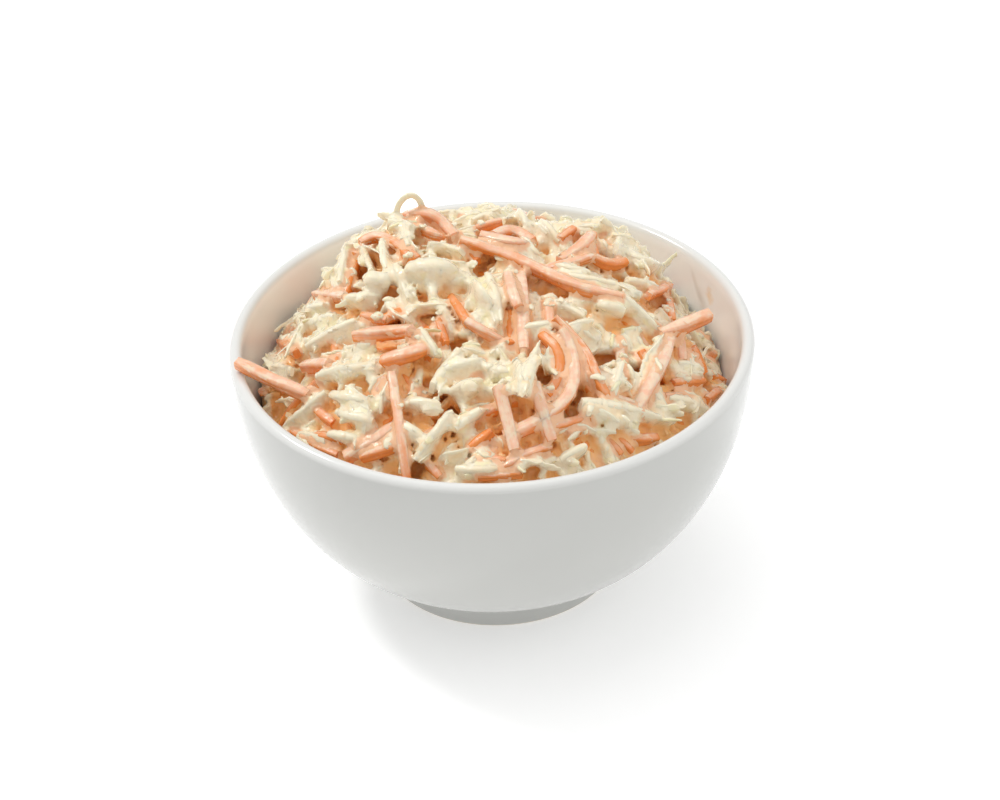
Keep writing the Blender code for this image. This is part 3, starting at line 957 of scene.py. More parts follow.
# From the lowest to the highest
SHREDS = (
    # Low carrots in the gaps
    carrot(4.0, (357, 252), (352, 275), (346, 296), bare=0.9),
    carrot(3.0, (396, 245), (412, 262), bare=0.8),
    carrot(3.0, (462, 246), (478, 262), bare=0.9),
    carrot(3.2, (452, 298), (468, 324), bare=0.8),
    carrot(2.8, (437, 320), (446, 344), bare=0.8),
    carrot(3.2, (380, 322), (402, 312), bare=0.9),
    carrot(3.2, (412, 344), (430, 330), bare=0.8),
    carrot(3.2, (510, 312), (512, 346), bare=0.9),
    carrot(3.4, (590, 240), (596, 258), bare=0.9),
    carrot(3.0, (668, 300), (672, 322), bare=0.7),
    carrot(3.4, (640, 352), (652, 372), bare=0.8),
    carrot(4.0, (690, 348), (702, 374), bare=0.8),
    carrot(3.0, (706, 400), (719, 391), bare=0.6),
    carrot(3.2, (318, 412), (334, 424), bare=0.6),
    carrot(2.4, (292, 432), (314, 446), (338, 455), bare=0.5),
    carrot(3.0, (318, 436), (342, 440), bare=0.6),
    carrot(4.6, (346, 458), (376, 442), (396, 428), bare=0.2),
    carrot(3.2, (362, 458), (398, 446), bare=0.5),
    carrot(3.0, (470, 448), (492, 432), bare=0.9),
    carrot(2.6, (470, 465), (490, 457), (506, 462), bare=0.6),
    carrot(2.6, (478, 477), (522, 474), bare=0.5),
    carrot(3.0, (428, 464), (440, 477), bare=0.5),
    carrot(2.4, (605, 437), (621, 455), bare=0.6),
    carrot(2.4, (615, 436), (632, 452), bare=0.5),
    carrot(3.2, (632, 441), (656, 438), bare=0.6),
    carrot(3.2, (505, 467), (526, 455), (551, 447), bare=0.4),
    carrot(3.0, (570, 438), (592, 423), bare=0.7),
    # Cabbage round the front rim
    leaf(5.0, (556, 436), (578, 426), (598, 434)),
    leaf(5.0, (592, 402), (608, 420), (624, 436)),
    cabbage(5.0, (560, 462), (585, 448)),
    cabbage(4.6, (640, 420), (668, 410)),
    cabbage(6.0, (666, 400), (704, 412)),
    leaf(5.0, (676, 394), (702, 404)),
    cabbage(4.6, (456, 470), (476, 474), (496, 470)),
    leaf(5.0, (440, 460), (470, 450)),
    leaf(5.0, (516, 466), (545, 462)),
    cabbage(4.0, (300, 436), (326, 442)),
    # Left flank
    carrot(3.2, (262, 338), (284, 343), (297, 354), bare=0.7),
    cabbage(4.4, (258, 330), (279, 326), lift=1.0),
    carrot(3.6, (316, 295), (346, 297), bare=0.1),
    leaf(3.0, (298, 304), (300, 328), (299, 350)),
    cabbage(4.0, (306, 312), (326, 306)),
    cabbage(4.4, (308, 348), (332, 335), (356, 322)),
    cabbage(4.6, (312, 326), (336, 318)),
    cabbage(4.4, (330, 270), (338, 290)),
    cabbage(4.0, (349, 243), (345, 262), (340, 284), lift=0.8, start_lift=2),
    cabbage(5.0, (344, 302), (380, 298)),
    carrot(4.0, (304, 367), (330, 364), bare=0.2),
    cabbage(3.8, (268, 366), (292, 372)),
    leaf(2.2, (276, 402), (298, 399)),
    carrot(3.2, (283, 424), (300, 401), (318, 383), bare=0.5),
    cabbage(4.4, (286, 430), (306, 412), (328, 392)),
    cabbage(5.0, (340, 374), (378, 366)),
    leaf(4.0, (344, 352), (376, 346)),
    cabbage(4.6, (318, 377), (350, 371)),
    cabbage(6.0, (334, 396), (368, 404)),
    cabbage(6.0, (340, 414), (374, 424)),
    cabbage(5.4, (330, 436), (358, 440)),
    leaf(6.0, (350, 386), (366, 410), (364, 434)),
    # Top left
    carrot(4.4, (408, 216), (428, 213), (446, 228), (456, 238), bare=0.25),
    carrot(3.0, (404, 224), (424, 229), (442, 239), bare=0.4),
    cabbage(4.6, (388, 224), (412, 229), lift=1.0),
    cabbage(4.0, (402, 233), (408, 248)),
    carrot(3.2, (360, 243), (376, 234), (392, 241), (405, 252), (418, 260), bare=0.5),
    cabbage(4.2, (382, 242), (388, 270), lift=2.0),
    cabbage(3.8, (361, 246), (373, 272), lift=1.4),
    cabbage(4.0, (428, 246), (462, 252)),
    leaf(4.0, (430, 262), (470, 268)),
    # The row of white chunks
    cabbage(8.8, (367, 281), (377, 283), (389, 286), lift=0.4),
    cabbage(6.4, (395, 268), (402, 283), (408, 299), lift=0.6, tip=0.3),
    cabbage(8.4, (431, 284), (434, 303), lift=0.4, tip=0.15),
    cabbage(10.0, (411, 273), (432, 272), (452, 276), lift=0.8),
    cabbage(5.0, (450, 282), (467, 284), lift=0.4),
    # Back
    leaf(3.6, (450, 227), (480, 214)),
    cabbage(3.6, (472, 222), (500, 211)),
    leaf(3.6, (456, 233), (492, 228)),
    cabbage(4.0, (518, 212), (530, 232), start_lift=1.5),
    cabbage(4.0, (540, 222), (560, 243)),
    cabbage(3.8, (564, 232), (600, 228)),
    cabbage(3.2, (602, 219), (616, 236), start_lift=1.5),
    carrot(4.2, (494, 237), (512, 229), (533, 243), bare=0.35),
    carrot(3.0, (476, 229), (501, 222), bare=0.5),
    carrot(2.8, (560, 240), (574, 229), bare=0.6),
    carrot(4.6, (560, 263), (580, 252), (592, 237), bare=0.3),
    carrot(2.8, (541, 270), (562, 266), (592, 257), bare=0.3),
    carrot(3.4, (594, 258), (610, 268), (626, 262), bare=0.6),
    cabbage(5.2, (616, 249), (640, 262), (665, 273)),
    cabbage(4.4, (626, 282), (656, 289)),
    leaf(5.0, (612, 236), (640, 246)),
    # Middle
    cabbage(5.6, (500, 254), (522, 258), (545, 266)),
    cabbage(4.6, (522, 240), (536, 258)),
    carrot(3.4, (480, 236), (506, 242), (530, 246), bare=0.1),
    carrot(3.7, (460, 241), (500, 252), (540, 271), (580, 289), (622, 298), lift=0.8, bare=0.35),
    cabbage(4.6, (556, 268), (588, 275)),
    cabbage(5.0, (562, 277), (600, 285), (640, 297)),
    cabbage(5.4, (600, 305), (624, 313)),
    cabbage(4.6, (624, 300), (640, 316), (656, 332)),
    cabbage(5.0, (458, 274), (474, 290), (482, 306)),
    cabbage(4.8, (488, 276), (500, 300)),
    carrot(3.0, (466, 321), (484, 333), (501, 341), bare=0.1),
    leaf(9.6, (470, 286), (483, 304), (495, 326), lift=1.0),
    cabbage(5.0, (489, 284), (498, 300), (501, 322), lift=1.2, tip=0.5),
    leaf(4.6, (404, 312), (426, 308), (448, 306)),
    leaf(3.8, (388, 302), (398, 318), (412, 323)),
    carrot(2.8, (362, 316), (386, 321), bare=0.4),
    carrot(3.8, (355, 336), (384, 333), (412, 331), lift=1.0, bare=0.3),
    carrot(4.2, (383, 362), (404, 356), (425, 349), lift=1.0, bare=0.35),
    cabbage(4.6, (418, 330), (436, 356)),
    cabbage(6.0, (432, 388), (452, 368), (462, 350)),
    cabbage(5.4, (452, 394), (480, 384)),
    cabbage(5.4, (444, 372), (482, 364)),
    cabbage(5.0, (410, 402), (440, 410)),
    cabbage(5.4, (402, 426), (430, 444)),
    carrot(3.4, (391, 374), (396, 404), (402, 440), (407, 478), bare=0.25),
    cabbage(5.0, (455, 430), (482, 410)),
    cabbage(4.6, (417, 461), (434, 436), (453, 414), lift=1.0),
    cabbage(4.0, (560, 306), (584, 318)),
    cabbage(4.0, (566, 330), (592, 322)),
    carrot(3.2, (548, 300), (550, 330), bare=0.3),
    carrot(4.2, (521, 276), (524, 314), (524, 352), lift=0.4, bare=0.1),
    carrot(3.8, (507, 275), (512, 291), (519, 307), lift=1.0, bare=0.15),
    cabbage(4.4, (526, 330), (550, 326)),
    # The bent carrots right of the middle
    carrot(3.6, (542, 336), (557, 348), (562, 368), (556, 386), (546, 397), bare=0.8),
    leaf(4.0, (551, 346), (546, 376)),
    carrot(3.0, (554, 318), (572, 336), (588, 356), (597, 380), (608, 398), bare=0.6, lift=0.8),
    carrot(
        4.0, (560, 331), (573, 350), (577, 374), (570, 396), (550, 416), (522, 430), (504, 437),
        lift=1.0, bare=0.2,
    ),
    carrot(3.0, (540, 431), (566, 424), (590, 418), bare=0.5),
    # Right flank
    carrot(2.9, (648, 296), (674, 284), lift=0.8, bare=0.5),
    carrot(2.8, (664, 397), (688, 397), bare=0.5),
    carrot(3.2, (672, 384), (702, 381), bare=0.6),
    leaf(2.4, (688, 357), (710, 362)),
    cabbage(5.0, (676, 366), (700, 372)),
    carrot(4.6, (637, 412), (651, 384), (664, 360), (669, 340), bare=0.05, lift=0.6),
    leaf(5.0, (642, 378), (656, 348), (662, 334)),
    cabbage(4.6, (652, 392), (664, 412)),
    carrot(3.4, (680, 342), (684, 362), bare=0.2),
    carrot(4.4, (661, 336), (686, 325), (710, 315), level=(78.6, 79.4), bare=0.25),
    cabbage(4.2, (600, 370), (630, 390), lift=0.6),
    cabbage(3.8, (622, 364), (612, 398), lift=0.6),
    carrot(3.0, (600, 392), (622, 402), (640, 407), bare=0.1),
    leaf(9.0, (586, 414), (606, 420), (630, 428), lift=0.6, tip=0.6),
    cabbage(6.4, (580, 405), (620, 410), (673, 423), lift=1.2, tip=0.4),
    cabbage(3.2, (620, 424), (638, 434)),
    # The blade and the carrots that hang below it
    carrot(4.2, (498, 386), (506, 414), (515, 451), lift=1.2, bare=0.1),
    carrot(4.0, (534, 384), (541, 410), (552, 441), lift=1.4, bare=0.15),
    cabbage(6.0, (490, 376), (504, 374), (516, 378), lift=1.2),
    leaf(9.6, (513, 362), (518, 378), (522, 396), lift=1.8),
    cabbage(9.0, (522, 396), (531, 368), (540, 340), lift=2.4, end_lift=2.5, tip=0.06),
    # The carrot that lies over the bowl's lip
    carrot(4.0, (237, 363), (270, 379), (308, 396), level=(76.2, 73), bare=0.3),
)

# The thin strand that stands up in a loop at the back left, and where it grows out of the heap
STRAND = (
    (397, 236), (395, 220), (397, 206), (403, 197), (411, 193), (418, 196), (423, 206), (424, 222),
    (422, 236),
)
STRAND_FOOT = (410, 228)
STRAND_WIDTH = 1.7 * MM

# Where the photograph shows deep gaps: place in its frame, radius in mm, depth in mm
GAPS = (
    ((511, 337), 3.4, 7),
    ((604, 349), 3.0, 6),
    ((647, 370), 3.0, 5),
    ((389, 435), 3.0, 5),
    ((482, 442), 2.6, 4),
    ((392, 318), 2.8, 5),
    ((350, 290), 2.6, 5),
    ((594, 250), 2.4, 5),
    ((458, 331), 2.6, 5),
    ((478, 256), 2.4, 4),
    ((450, 398), 3.0, 5),
    ((274, 404), 6.0, 8),
    ((696, 346), 5.0, 7),
    ((364, 262), 3.0, 4),
)

# How much of a cut's raggedness each kind of shred gets
DRAWN_TORN = 0.8
PLACED_TORN = 0.4
STRAND_TORN = 0.3


@dataclass
class LaidShred:
    """A shred at rest: its middle line, width and roll along it, how bare and how torn it is."""

    line: np.ndarray
    widths: np.ndarray
    roll: np.ndarray
    tone: float
    cut: Cut
    torn: float = DRAWN_TORN


@dataclass(frozen=True)
class Batch:
    """Shreds of one cut that are laid in one go, with their sizes in mm.

    Each is laid only where the heap's form stands at least the room above it. One end may stand up
    by the lift. The tries are the places drawn for each.
    """

    count: int
    cut: Cut
    lengths: tuple[float, float]
    widths: tuple[float, float]
    room: float
    lift: float = 0
    tries: int = 9


def spaced(path: Sequence[tuple[float, float]], count: int) -> np.ndarray:
    """A path drawn smooth through its places, as evenly spaced points."""
    knots = np.array(path, float)
    far = np.concatenate(([0], np.cumsum(np.linalg.norm(np.diff(knots, axis=0), axis=1))))
    at = np.linspace(0, far[-1], count)
    line = np.stack([np.interp(at, far, part) for part in knots.T], 1)
    for _ in range(3):
        line[1:-1] = (line[:-2] + 2 * line[1:-1] + line[2:]) / 4
    return line


def evened(values: np.ndarray, reach: int) -> np.ndarray:
    """A line of values, each the mean of those about it."""
    size = 2 * reach + 1
    return np.convolve(np.pad(values, reach, mode="edge"), np.ones(size) / size, "valid")


def within(plan: np.ndarray, limit: Union[float, np.ndarray]) -> np.ndarray:
    """Points in plan, moved in to a distance from the bowl's axis where they lie beyond it."""
    around = np.maximum(np.hypot(*plan.T), 1e-9)
    return plan * np.minimum(limit / around, 1)[:, None]


def fitted(share: np.ndarray, values: np.ndarray) -> np.ndarray:
    """The cubic that lies closest to a line of values."""
    return np.polyval(np.polyfit(share, values, 3), share)


@dataclass
class ShredBed:
    """The heap as it grows, on a grid of heights, with each new shred at rest on the last."""

    heap: HeapForm
    view: View
    depth: float
    pitch: float = 0.5 * MM
    seed: int = 11
    probes: int = 24
    shown_cost: float = 9 * MM
    shown_share: float = 0.12
    point_step: float = 2.2 * MM
    point_step_seen: float = 6
    overlap: float = 2.2 * MM
    narrower: float = 0.88
    sunk: float = 0.1
    press: float = 0.4 * MM
    yielding: float = 1.2 * MM
    feelers: tuple[float, float, float] = (-0.4, 0.0, 0.4)
    sag: float = 0.5
    stiff_roll: float = 0.3
    most_roll: float = 0.9
    twist: float = 0.3
    bareness: tuple[float, float] = (1.4, 2.2)
    clash: float = 0.5
    tip_curve: float = 1.6
    sightline: tuple[float, float] = (108 * MM, 50 * MM)
    sightline_steps: int = 240
    flake_every: float = 9 * MM
    flake_turn: float = 0.55
    flake_spread: float = 0.3
    flake_heights: tuple[float, float] = (-0.9 * MM, 0.5 * MM)
    flake_widths: tuple[float, float] = (0.4, 0.65)
    flake_roll: float = 0.5
    flake_points: int = 6
    loop_points: int = 22
    loop_tone: float = 0.2
    laid: list[LaidShred] = field(default_factory=list)

    def __post_init__(self) -> None:
        """Starts from the core, a depth below the heap's form."""
        self.draw = np.random.default_rng(self.seed)
        self.reach = int(self.heap.bowl.rim_radius / self.pitch)
        axis = np.arange(-self.reach, self.reach + 1) * self.pitch
        x, y = np.meshgrid(axis, axis, indexing="ij")
        self.even_form = self.heap.height(x, y)
        self.form = self.even_form.copy()
        self.top = self.form - self.depth
        self.shown = np.zeros(x.shape, bool)
        self.plan = (x, y)

    def open_gaps(self) -> None:
        """Lowers the form where the photograph shows deep gaps, so that they stay open."""
        x, y = self.plan
        for place, radius, deep in GAPS:
            middle = self.on_form(np.array([place], float))[0]
            far = np.hypot(x - middle[0], y - middle[1]) / (radius * MM)
            self.form -= deep * MM * np.exp(-(far**4))
            self.shown |= far < 0.9

    def mark(self, mesh: bpy.types.Mesh) -> None:
        """Gives each point its depth in mm under the heap's top, for the painted shade, and how far
        it faces up.
        """
        places = np.empty(3 * len(mesh.vertices), np.float32)
        mesh.vertices.foreach_get("co", places)
        x, y, z = places.reshape(-1, 3).T
        facing = np.empty(3 * len(mesh.vertices), np.float32)
        mesh.vertex_normals.foreach_get("vector", facing)
        set_points(mesh, "deep", "FLOAT", (self.even_top()[self.cells(x, y)] - z) / MM)
        set_points(mesh, "up", "FLOAT", facing.reshape(-1, 3)[:, 2])

    def even_top(self, reach: int = 7) -> np.ndarray:
        """The grid of heights, each the mean of those about it."""
        even = np.apply_along_axis(evened, 0, self.top, reach)
        return np.apply_along_axis(evened, 1, even, reach)

    def cells(self, x: np.ndarray, y: np.ndarray) -> tuple[np.ndarray, np.ndarray]:
        """The grid cells under points in plan."""
        last = 2 * self.reach
        across = np.clip(np.rint(x / self.pitch).astype(int) + self.reach, 0, last)
        along = np.clip(np.rint(y / self.pitch).astype(int) + self.reach, 0, last)
        return across, along

    def on_form(self, seen: np.ndarray, above: Union[float, np.ndarray] = 0.0) -> np.ndarray:
        """Where points in the photograph are seen on the heap's form, or at heights above it."""
        heights = np.linspace(*self.sightline, self.sightline_steps)
        places = []
        for point, extra in zip(seen, np.broadcast_to(above, len(seen))):
            plan = self.view.at_height(np.repeat(point[None], len(heights), 0), heights)
            first = np.argmax(self.even_form[self.cells(*plan.T)] + extra > heights)
            places.append((*plan[first], heights[first]))
        return np.array(places)

    def sideways(self, plan: np.ndarray) -> np.ndarray:
        """Unit vectors in plan, square to a line of points."""
        along = np.gradient(plan, axis=0)
        along /= np.maximum(np.linalg.norm(along, axis=1, keepdims=True), 1e-9)
        return np.stack((-along[:, 1], along[:, 0]), 1)

    def rest(self, plan: np.ndarray, width: float, cut: Cut) -> tuple[np.ndarray, np.ndarray]:
        """How a shred comes to rest, on its two highest supports if it is stiff.

        Args:
            plan: Its middle line in plan.
            width: Its width.
            cut: What it was cut from.

        Returns:
            The heights of its middle line, and its roll along it.
        """
        across = self.sideways(plan)
        give = cut.limp
        under = np.stack(
            [self.top[self.cells(*(plan + across * width * share).T)] for share in self.feelers], 1
        )
        support = under.max(1) * (1 - self.sag * give) + under.mean(1) * self.sag * give
        share = np.linspace(0, 1, len(plan))
        left, right = share <= 0.5, share > 0.5
        span = share[right][None, :] - share[left][:, None]
        slope = (support[right][None, :] - support[left][:, None]) / span
        middle = support[left][:, None] + slope * (0.5 - share[left][:, None])
        first, second = np.unravel_index(np.argmax(middle), middle.shape)
        stiff = support[left][first] + slope[first, second] * (share - share[left][first])
        height = stiff * (1 - give) + evened(support, 2) * give
        height = evened(np.maximum(height - self.press, support - self.yielding), 1)
        between = (self.feelers[2] - self.feelers[0]) * width
        roll = np.arctan2(under[:, 2] - under[:, 0], between)
        roll *= self.stiff_roll + (1 - self.stiff_roll) * give
        roll = np.clip(evened(roll, 2), -self.most_roll, self.most_roll)
        return height + width * cut.thickness / 2, roll

    def keep_in(self, plan: np.ndarray, height: np.ndarray, margin: float) -> np.ndarray:
        """Moves points in towards the middle until they are a margin clear of the bowl."""
        bowl = self.heap.bowl
        limit = bowl.inner_radius(height, self.heap.gap) - margin
        limit = np.where(height > bowl.height + margin, bowl.rim_radius - margin, limit)
        return within(plan, limit)

    def raise_top(self, line: np.ndarray, widths: np.ndarray, thickness: float) -> None:
        """Adds a shred's upper face to the grid."""
        steps = max(2, int(np.linalg.norm(np.diff(line, axis=0), axis=1).sum() / self.pitch))
        share = np.linspace(0, len(line) - 1, steps)
        dense = np.stack([np.interp(share, range(len(line)), part) for part in line.T], 1)
        wide = np.interp(share, range(len(line)), widths)
        across = self.sideways(dense[:, :2])
        for part in np.linspace(-0.5, 0.5, 9):
            place = self.cells(*(dense[:, :2] + across * (wide * part)[:, None]).T)
            np.maximum.at(self.top, place, dense[:, 2] + thickness / 2)

    def lay(
        self,
        plan: np.ndarray,
        width: float,
        cut: Cut,
        lift: Union[float, np.ndarray] = 0.0,
        bare: Optional[float] = None,
    ) -> tuple[LaidShred, float]:
        """Finds a shred's rest without adding it.

        Args:
            plan: Its middle line in plan.
            width: Its width at the middle.
            cut: What it was cut from.
            lift: How far it is held above its rest.
            bare: How bare of dressing it is, drawn if not given.

        Returns:
            The shred, and how far the heap's form still stands above it.
        """
        height, roll = self.rest(plan, width, cut)
        height = height + lift
        plan = self.keep_in(plan, height, width / 2)
        share = np.linspace(-1, 1, len(plan))
        taper = 1 - cut.taper * np.abs(share) ** 4
        room = self.form[self.cells(*plan.T)] - height - width * cut.thickness / 2
        roll = roll + self.draw.uniform(-self.twist, self.twist) * share
        tone = self.draw.beta(*self.bareness) if bare is None else bare
        shred = LaidShred(np.column_stack((plan, height)), width * taper, roll, float(tone), cut)
        return shred, float(room.mean() - self.clash * max(-room.min(), 0))

    def add(self, shred: LaidShred, shown: bool = False) -> None:
        """Adds a shred to the heap, and marks its place if it is to stay in view."""
        self.laid.append(shred)
        self.raise_top(shred.line, shred.widths, float(shred.widths.max()) * shred.cut.thickness)
        if shown:
            across = self.sideways(shred.line[:, :2])
            for part in (-0.5, -0.25, 0, 0.25, 0.5):
                place = shred.line[:, :2] + across * (shred.widths * part)[:, None]
                self.shown[self.cells(*place.T)] = True

    def low_place(self) -> np.ndarray:
        """Of some drawn places, the one that is lowest under the heap's form."""
        out = self.heap.filled_radius() * np.sqrt(self.draw.random(self.probes))
        around = self.draw.uniform(0, math.tau, self.probes)
        places = np.stack((out * np.cos(around), out * np.sin(around)), 1)
        cells = self.cells(*places.T)
        room = self.form[cells] - self.top[cells] - self.shown_cost * self.shown[cells]
        return places[np.argmax(room)]

    def drawn_plan(self, place: np.ndarray, length: float, bend: float) -> np.ndarray:
        """The plan of a curved shred about a place, at a drawn heading."""
        count = max(5, int(length / self.point_step))
        heading = self.draw.uniform(0, math.tau)
        turn = heading + bend * np.linspace(-0.5, 0.5, count)
        steps = np.stack((np.cos(turn), np.sin(turn)), 1) * length / (count - 1)
        plan = np.cumsum(steps, axis=0)
        plan = plan - plan.mean(0) + place
        return within(plan, self.heap.filled_radius())

    def scatter(self, batch: Batch) -> None:
        """Lays a batch of shreds where the heap is lowest under its form."""
        for _ in range(batch.count):
            length, width = (
                self.draw.uniform(least * MM, most * MM)
                for least, most in (batch.lengths, batch.widths)
            )
            bend = self.draw.normal(0, batch.cut.bend) * length / BEND_LENGTH
            place = self.low_place()
            best: tuple[float, Optional[LaidShred]] = (batch.room * MM, None)
            for _ in range(batch.tries):
                plan = self.drawn_plan(place, length, bend)
                if self.shown[self.cells(*plan.T)].mean() > self.shown_share:
                    continue
                lift = self.draw.random() ** 2 * (batch.lift * MM) * np.linspace(0, 1, len(plan))
                shred, room = self.lay(plan, width, batch.cut, lift)
                if room > best[0]:
                    best = (room, shred)
            if best[1]:
                self.add(best[1])

    def place(self, shred: Shred) -> None:
        """Lays one of the shreds that show, so that it is seen at its place in the photograph."""
        far = np.linalg.norm(np.diff(np.array(shred.path, float), axis=0), axis=1).sum()
        seen = spaced(shred.path, max(6, int(far / self.point_step_seen)))
        share = np.linspace(0, 1, len(seen))
        lift = shred.lift + shred.start_lift * (1 - share) ** 2 + shred.end_lift * share**2
        rough = self.on_form(seen)
        width = self.narrower * shred.width * MM
        sunk = self.sunk * width * shred.cut.thickness
        laid, _ = self.lay(rough[:, :2], width, shred.cut, 0.0, shred.bare)
        over = laid.line[:, 2] - fitted(share, rough[:, 2]) + sunk
        above = lift * MM - sunk + evened(np.clip(over, 0, self.overlap), 2)
        height = fitted(share, self.on_form(seen, above)[:, 2])
        if shred.level:
            height = MM * (shred.level[0] * (1 - share) + shred.level[1] * share)
        plan = self.keep_in(self.view.at_height(seen, height), height, width / 2)
        laid.line = np.column_stack((plan, height))
        laid.widths = laid.widths * (1 - (1 - shred.tip) * share**self.tip_curve)
        laid.torn = PLACED_TORN
        self.add(laid, shown=True)
        if shred.cut is not Cut.CARROT:
            self.flake(laid)

    def flake(self, shred: LaidShred) -> None:
        """Lays torn flakes of cabbage against a shred, turned a little away from it."""
        size = float(shred.widths.max())
        length = float(np.linalg.norm(shred.line[-1] - shred.line[0]))
        for _ in range(2 + int(length / self.flake_every)):
            middle = shred.line[self.draw.integers(1, len(shred.line) - 1)]
            heading = self.draw.normal(0, self.flake_turn)
            along = (shred.line[-1, :2] - shred.line[0, :2]) / max(length, 1e-6)
            turn = np.array(
                ((math.cos(heading), -math.sin(heading)), (math.sin(heading), math.cos(heading)))
            )
            half = turn @ along * self.draw.uniform(1.2 * MM, 0.3 * length + 1.4 * MM)
            aside = self.draw.normal(0, self.flake_spread * size, 2)
            share = np.linspace(-1, 1, self.flake_points)
            plan = middle[:2] + aside + half * share[:, None]
            height = np.full(self.flake_points, middle[2] + self.draw.uniform(*self.flake_heights))
            plan = self.keep_in(plan, height, self.flake_widths[0] * size)
            widths = self.draw.uniform(*self.flake_widths) * size * (1 - 0.5 * np.abs(share) ** 3)
            roll = np.full(self.flake_points, self.draw.normal(0, self.flake_roll))
            tone = float(self.draw.random())
            kind = Cut.RIB if self.draw.random() < 0.5 else Cut.LEAF
            self.add(LaidShred(np.column_stack((plan, height)), widths, roll, tone, kind))

    def loop(
        self, width: float, path: tuple[tuple[float, float], ...], foot: tuple[float, float]
    ) -> None:
        """Stands a thin strand up in a loop.

        Args:
            width: Its width.
            path: Its path in the photograph's frame, ends buried in the heap.
            foot: Where its upright plane meets the heap.
        """
        seen = spaced(path, self.loop_points)
        line = self.view.in_upright(seen, self.on_form(np.array([foot], float))[0, 1] + width)
        widths = np.full(len(line), width)
        level = np.zeros(len(line))
        self.laid.append(LaidShred(line, widths, level, self.loop_tone, Cut.RIB, STRAND_TORN))


def new_object(name: str, mesh: bpy.types.Mesh) -> bpy.types.Object:
    """An object in the scene for a mesh."""
    thing = bpy.data.objects.new(name, mesh)
    bpy.context.scene.collection.objects.link(thing)
    return thing


def set_points(mesh: bpy.types.Mesh, name: str, kind: str, values: np.ndarray) -> None:
    """Gives a mesh an attribute with a value at each point."""
    attribute = mesh.attributes.new(name, kind, "POINT")
    attribute.data.foreach_set(
        "value" if kind == "FLOAT" else "vector", np.asarray(values, np.float32).ravel()
    )


@dataclass(frozen=True)
class Sweep:
    """Sweeps a section along the middle lines of shreds, by Geometry Nodes.

    The section has some sides and is square from 2, which is round, upwards. Sections stand a step
    apart, their width is uneven by a share of itself, and the faces are ragged by a depth, in tears
    of a size.
    """

    cut: Cut
    sides: int
    square: float
    step: float
    uneven: float
    ragged: float
    ragged_size: float

    def guide(self, shreds: Sequence[LaidShred]) -> bpy.types.Object:
        """The middle lines as a mesh of edges that carries width, roll and tone."""
        points = np.concatenate([shred.line for shred in shreds])
        edges = []
        first = 0
        for shred in shreds:
            edges += [(first + n, first + n + 1) for n in range(len(shred.line) - 1)]
            first += len(shred.line)
        mesh = bpy.data.meshes.new("middle lines")
        mesh.from_pydata(points.tolist(), edges, [])
        set_points(mesh, "width", "FLOAT", np.concatenate([s.widths for s in shreds]))
        set_points(mesh, "roll", "FLOAT", np.concatenate([s.roll for s in shreds]))
        for name in ("tone", "torn"):
            values = [np.full(len(shred.line), getattr(shred, name)) for shred in shreds]
            set_points(mesh, name, "FLOAT", np.concatenate(values))
        return new_object("guide", mesh)

    def build(
        self, name: str, shreds: Sequence[LaidShred], material: bpy.types.Material
    ) -> bpy.types.Object:
        """Makes the shreds.

        Args:
            name: The piece's name.
            shreds: The shreds, which are of one cut.
            material: Their finish.

        Returns:
            All the shreds as one piece.
        """
        sizes = {
            "Thickness": self.cut.thickness,
            "Step": self.step,
            "Uneven": self.uneven,
            "Ragged": self.ragged,
            "Size": self.ragged_size,
        }
        tree = GeometryTree("sweep", sizes)
        line = self.middle_line(tree)
        swell = tree.noise(
            tree.node("GeometryNodeInputPosition"), 1 / tree.given("Size"), detail=1.0
        )
        swell = 1.0 + (swell - 0.5) * tree.given("Uneven") * tree.attribute("torn") * 4.0
        strip = tree.node(
            "GeometryNodeCurveToMesh",
            {},
            {
                "Curve": line,
                "Profile Curve": self.section(tree),
                "Scale": tree.attribute("width") * swell,
                "Fill Caps": True,
            },
        )
        depth = tree.given("Ragged") * tree.attribute("torn") * 2
        torn = tree.torn(strip, tree.given("Size"), 2.0, depth)
        tree.close(torn, material)
        guide = self.guide(shreds)
        piece = new_object(name, tree.apply(guide))
        bpy.data.objects.remove(guide)
        return piece

    def middle_line(self, tree: GeometryTree) -> Socket:
        """The middle lines as curves with a point at each step, rolled as the shreds are."""
        line = tree.node("GeometryNodeMeshToCurve", {}, {"Mesh": tree.given("Geometry")})
        line = tree.node(
            "GeometryNodeResampleCurve",
            {"mode": "LENGTH"},
            {"Curve": line, "Length": tree.given("Step")},
        )
        along = tree.node("GeometryNodeSplineParameter", output="Length")
        line = tree.stored(line, "along", along)
        line = tree.node("GeometryNodeSetCurveNormal", {"mode": "Z_UP"}, {"Curve": line})
        return tree.node(
            "GeometryNodeSetCurveTilt", {}, {"Curve": line, "Tilt": tree.attribute("roll")}
        )

    def section(self, tree: GeometryTree) -> Socket:
        """The shred's section, one unit wide, flattened to its thickness."""
        ring = tree.node(
            "GeometryNodeCurvePrimitiveCircle", {}, {"Resolution": self.sides, "Radius": 0.5}
        )
        flat = tree.node("ShaderNodeCombineXYZ", {}, {0: tree.given("Thickness"), 1: 1.0, 2: 1.0})
        ring = tree.node(
            "GeometryNodeSetPosition", {}, {"Geometry": ring, "Position": self.squared(tree)}
        )
        section = tree.node("GeometryNodeTransform", {}, {"Geometry": ring, "Scale": flat})
        around = tree.node("GeometryNodeSplineParameter", output="Factor")
        return tree.stored(section, "around", around)

    def squared(self, tree: GeometryTree) -> Socket:
        """A circle's points drawn out towards a square, which gives a cut stick its flat faces."""
        place = tree.node("GeometryNodeInputPosition")
        part = tree.node("ShaderNodeSeparateXYZ", {}, {"Vector": place})
        node = part.socket.node
        x, y = Socket(tree, node.outputs[0]), Socket(tree, node.outputs[1])
        size = (
            tree.function("ABSOLUTE", x) ** self.square
            + tree.function("ABSOLUTE", y) ** self.square
        ) ** (1 / self.square)
        return tree.scaled(place, 0.5 / size)


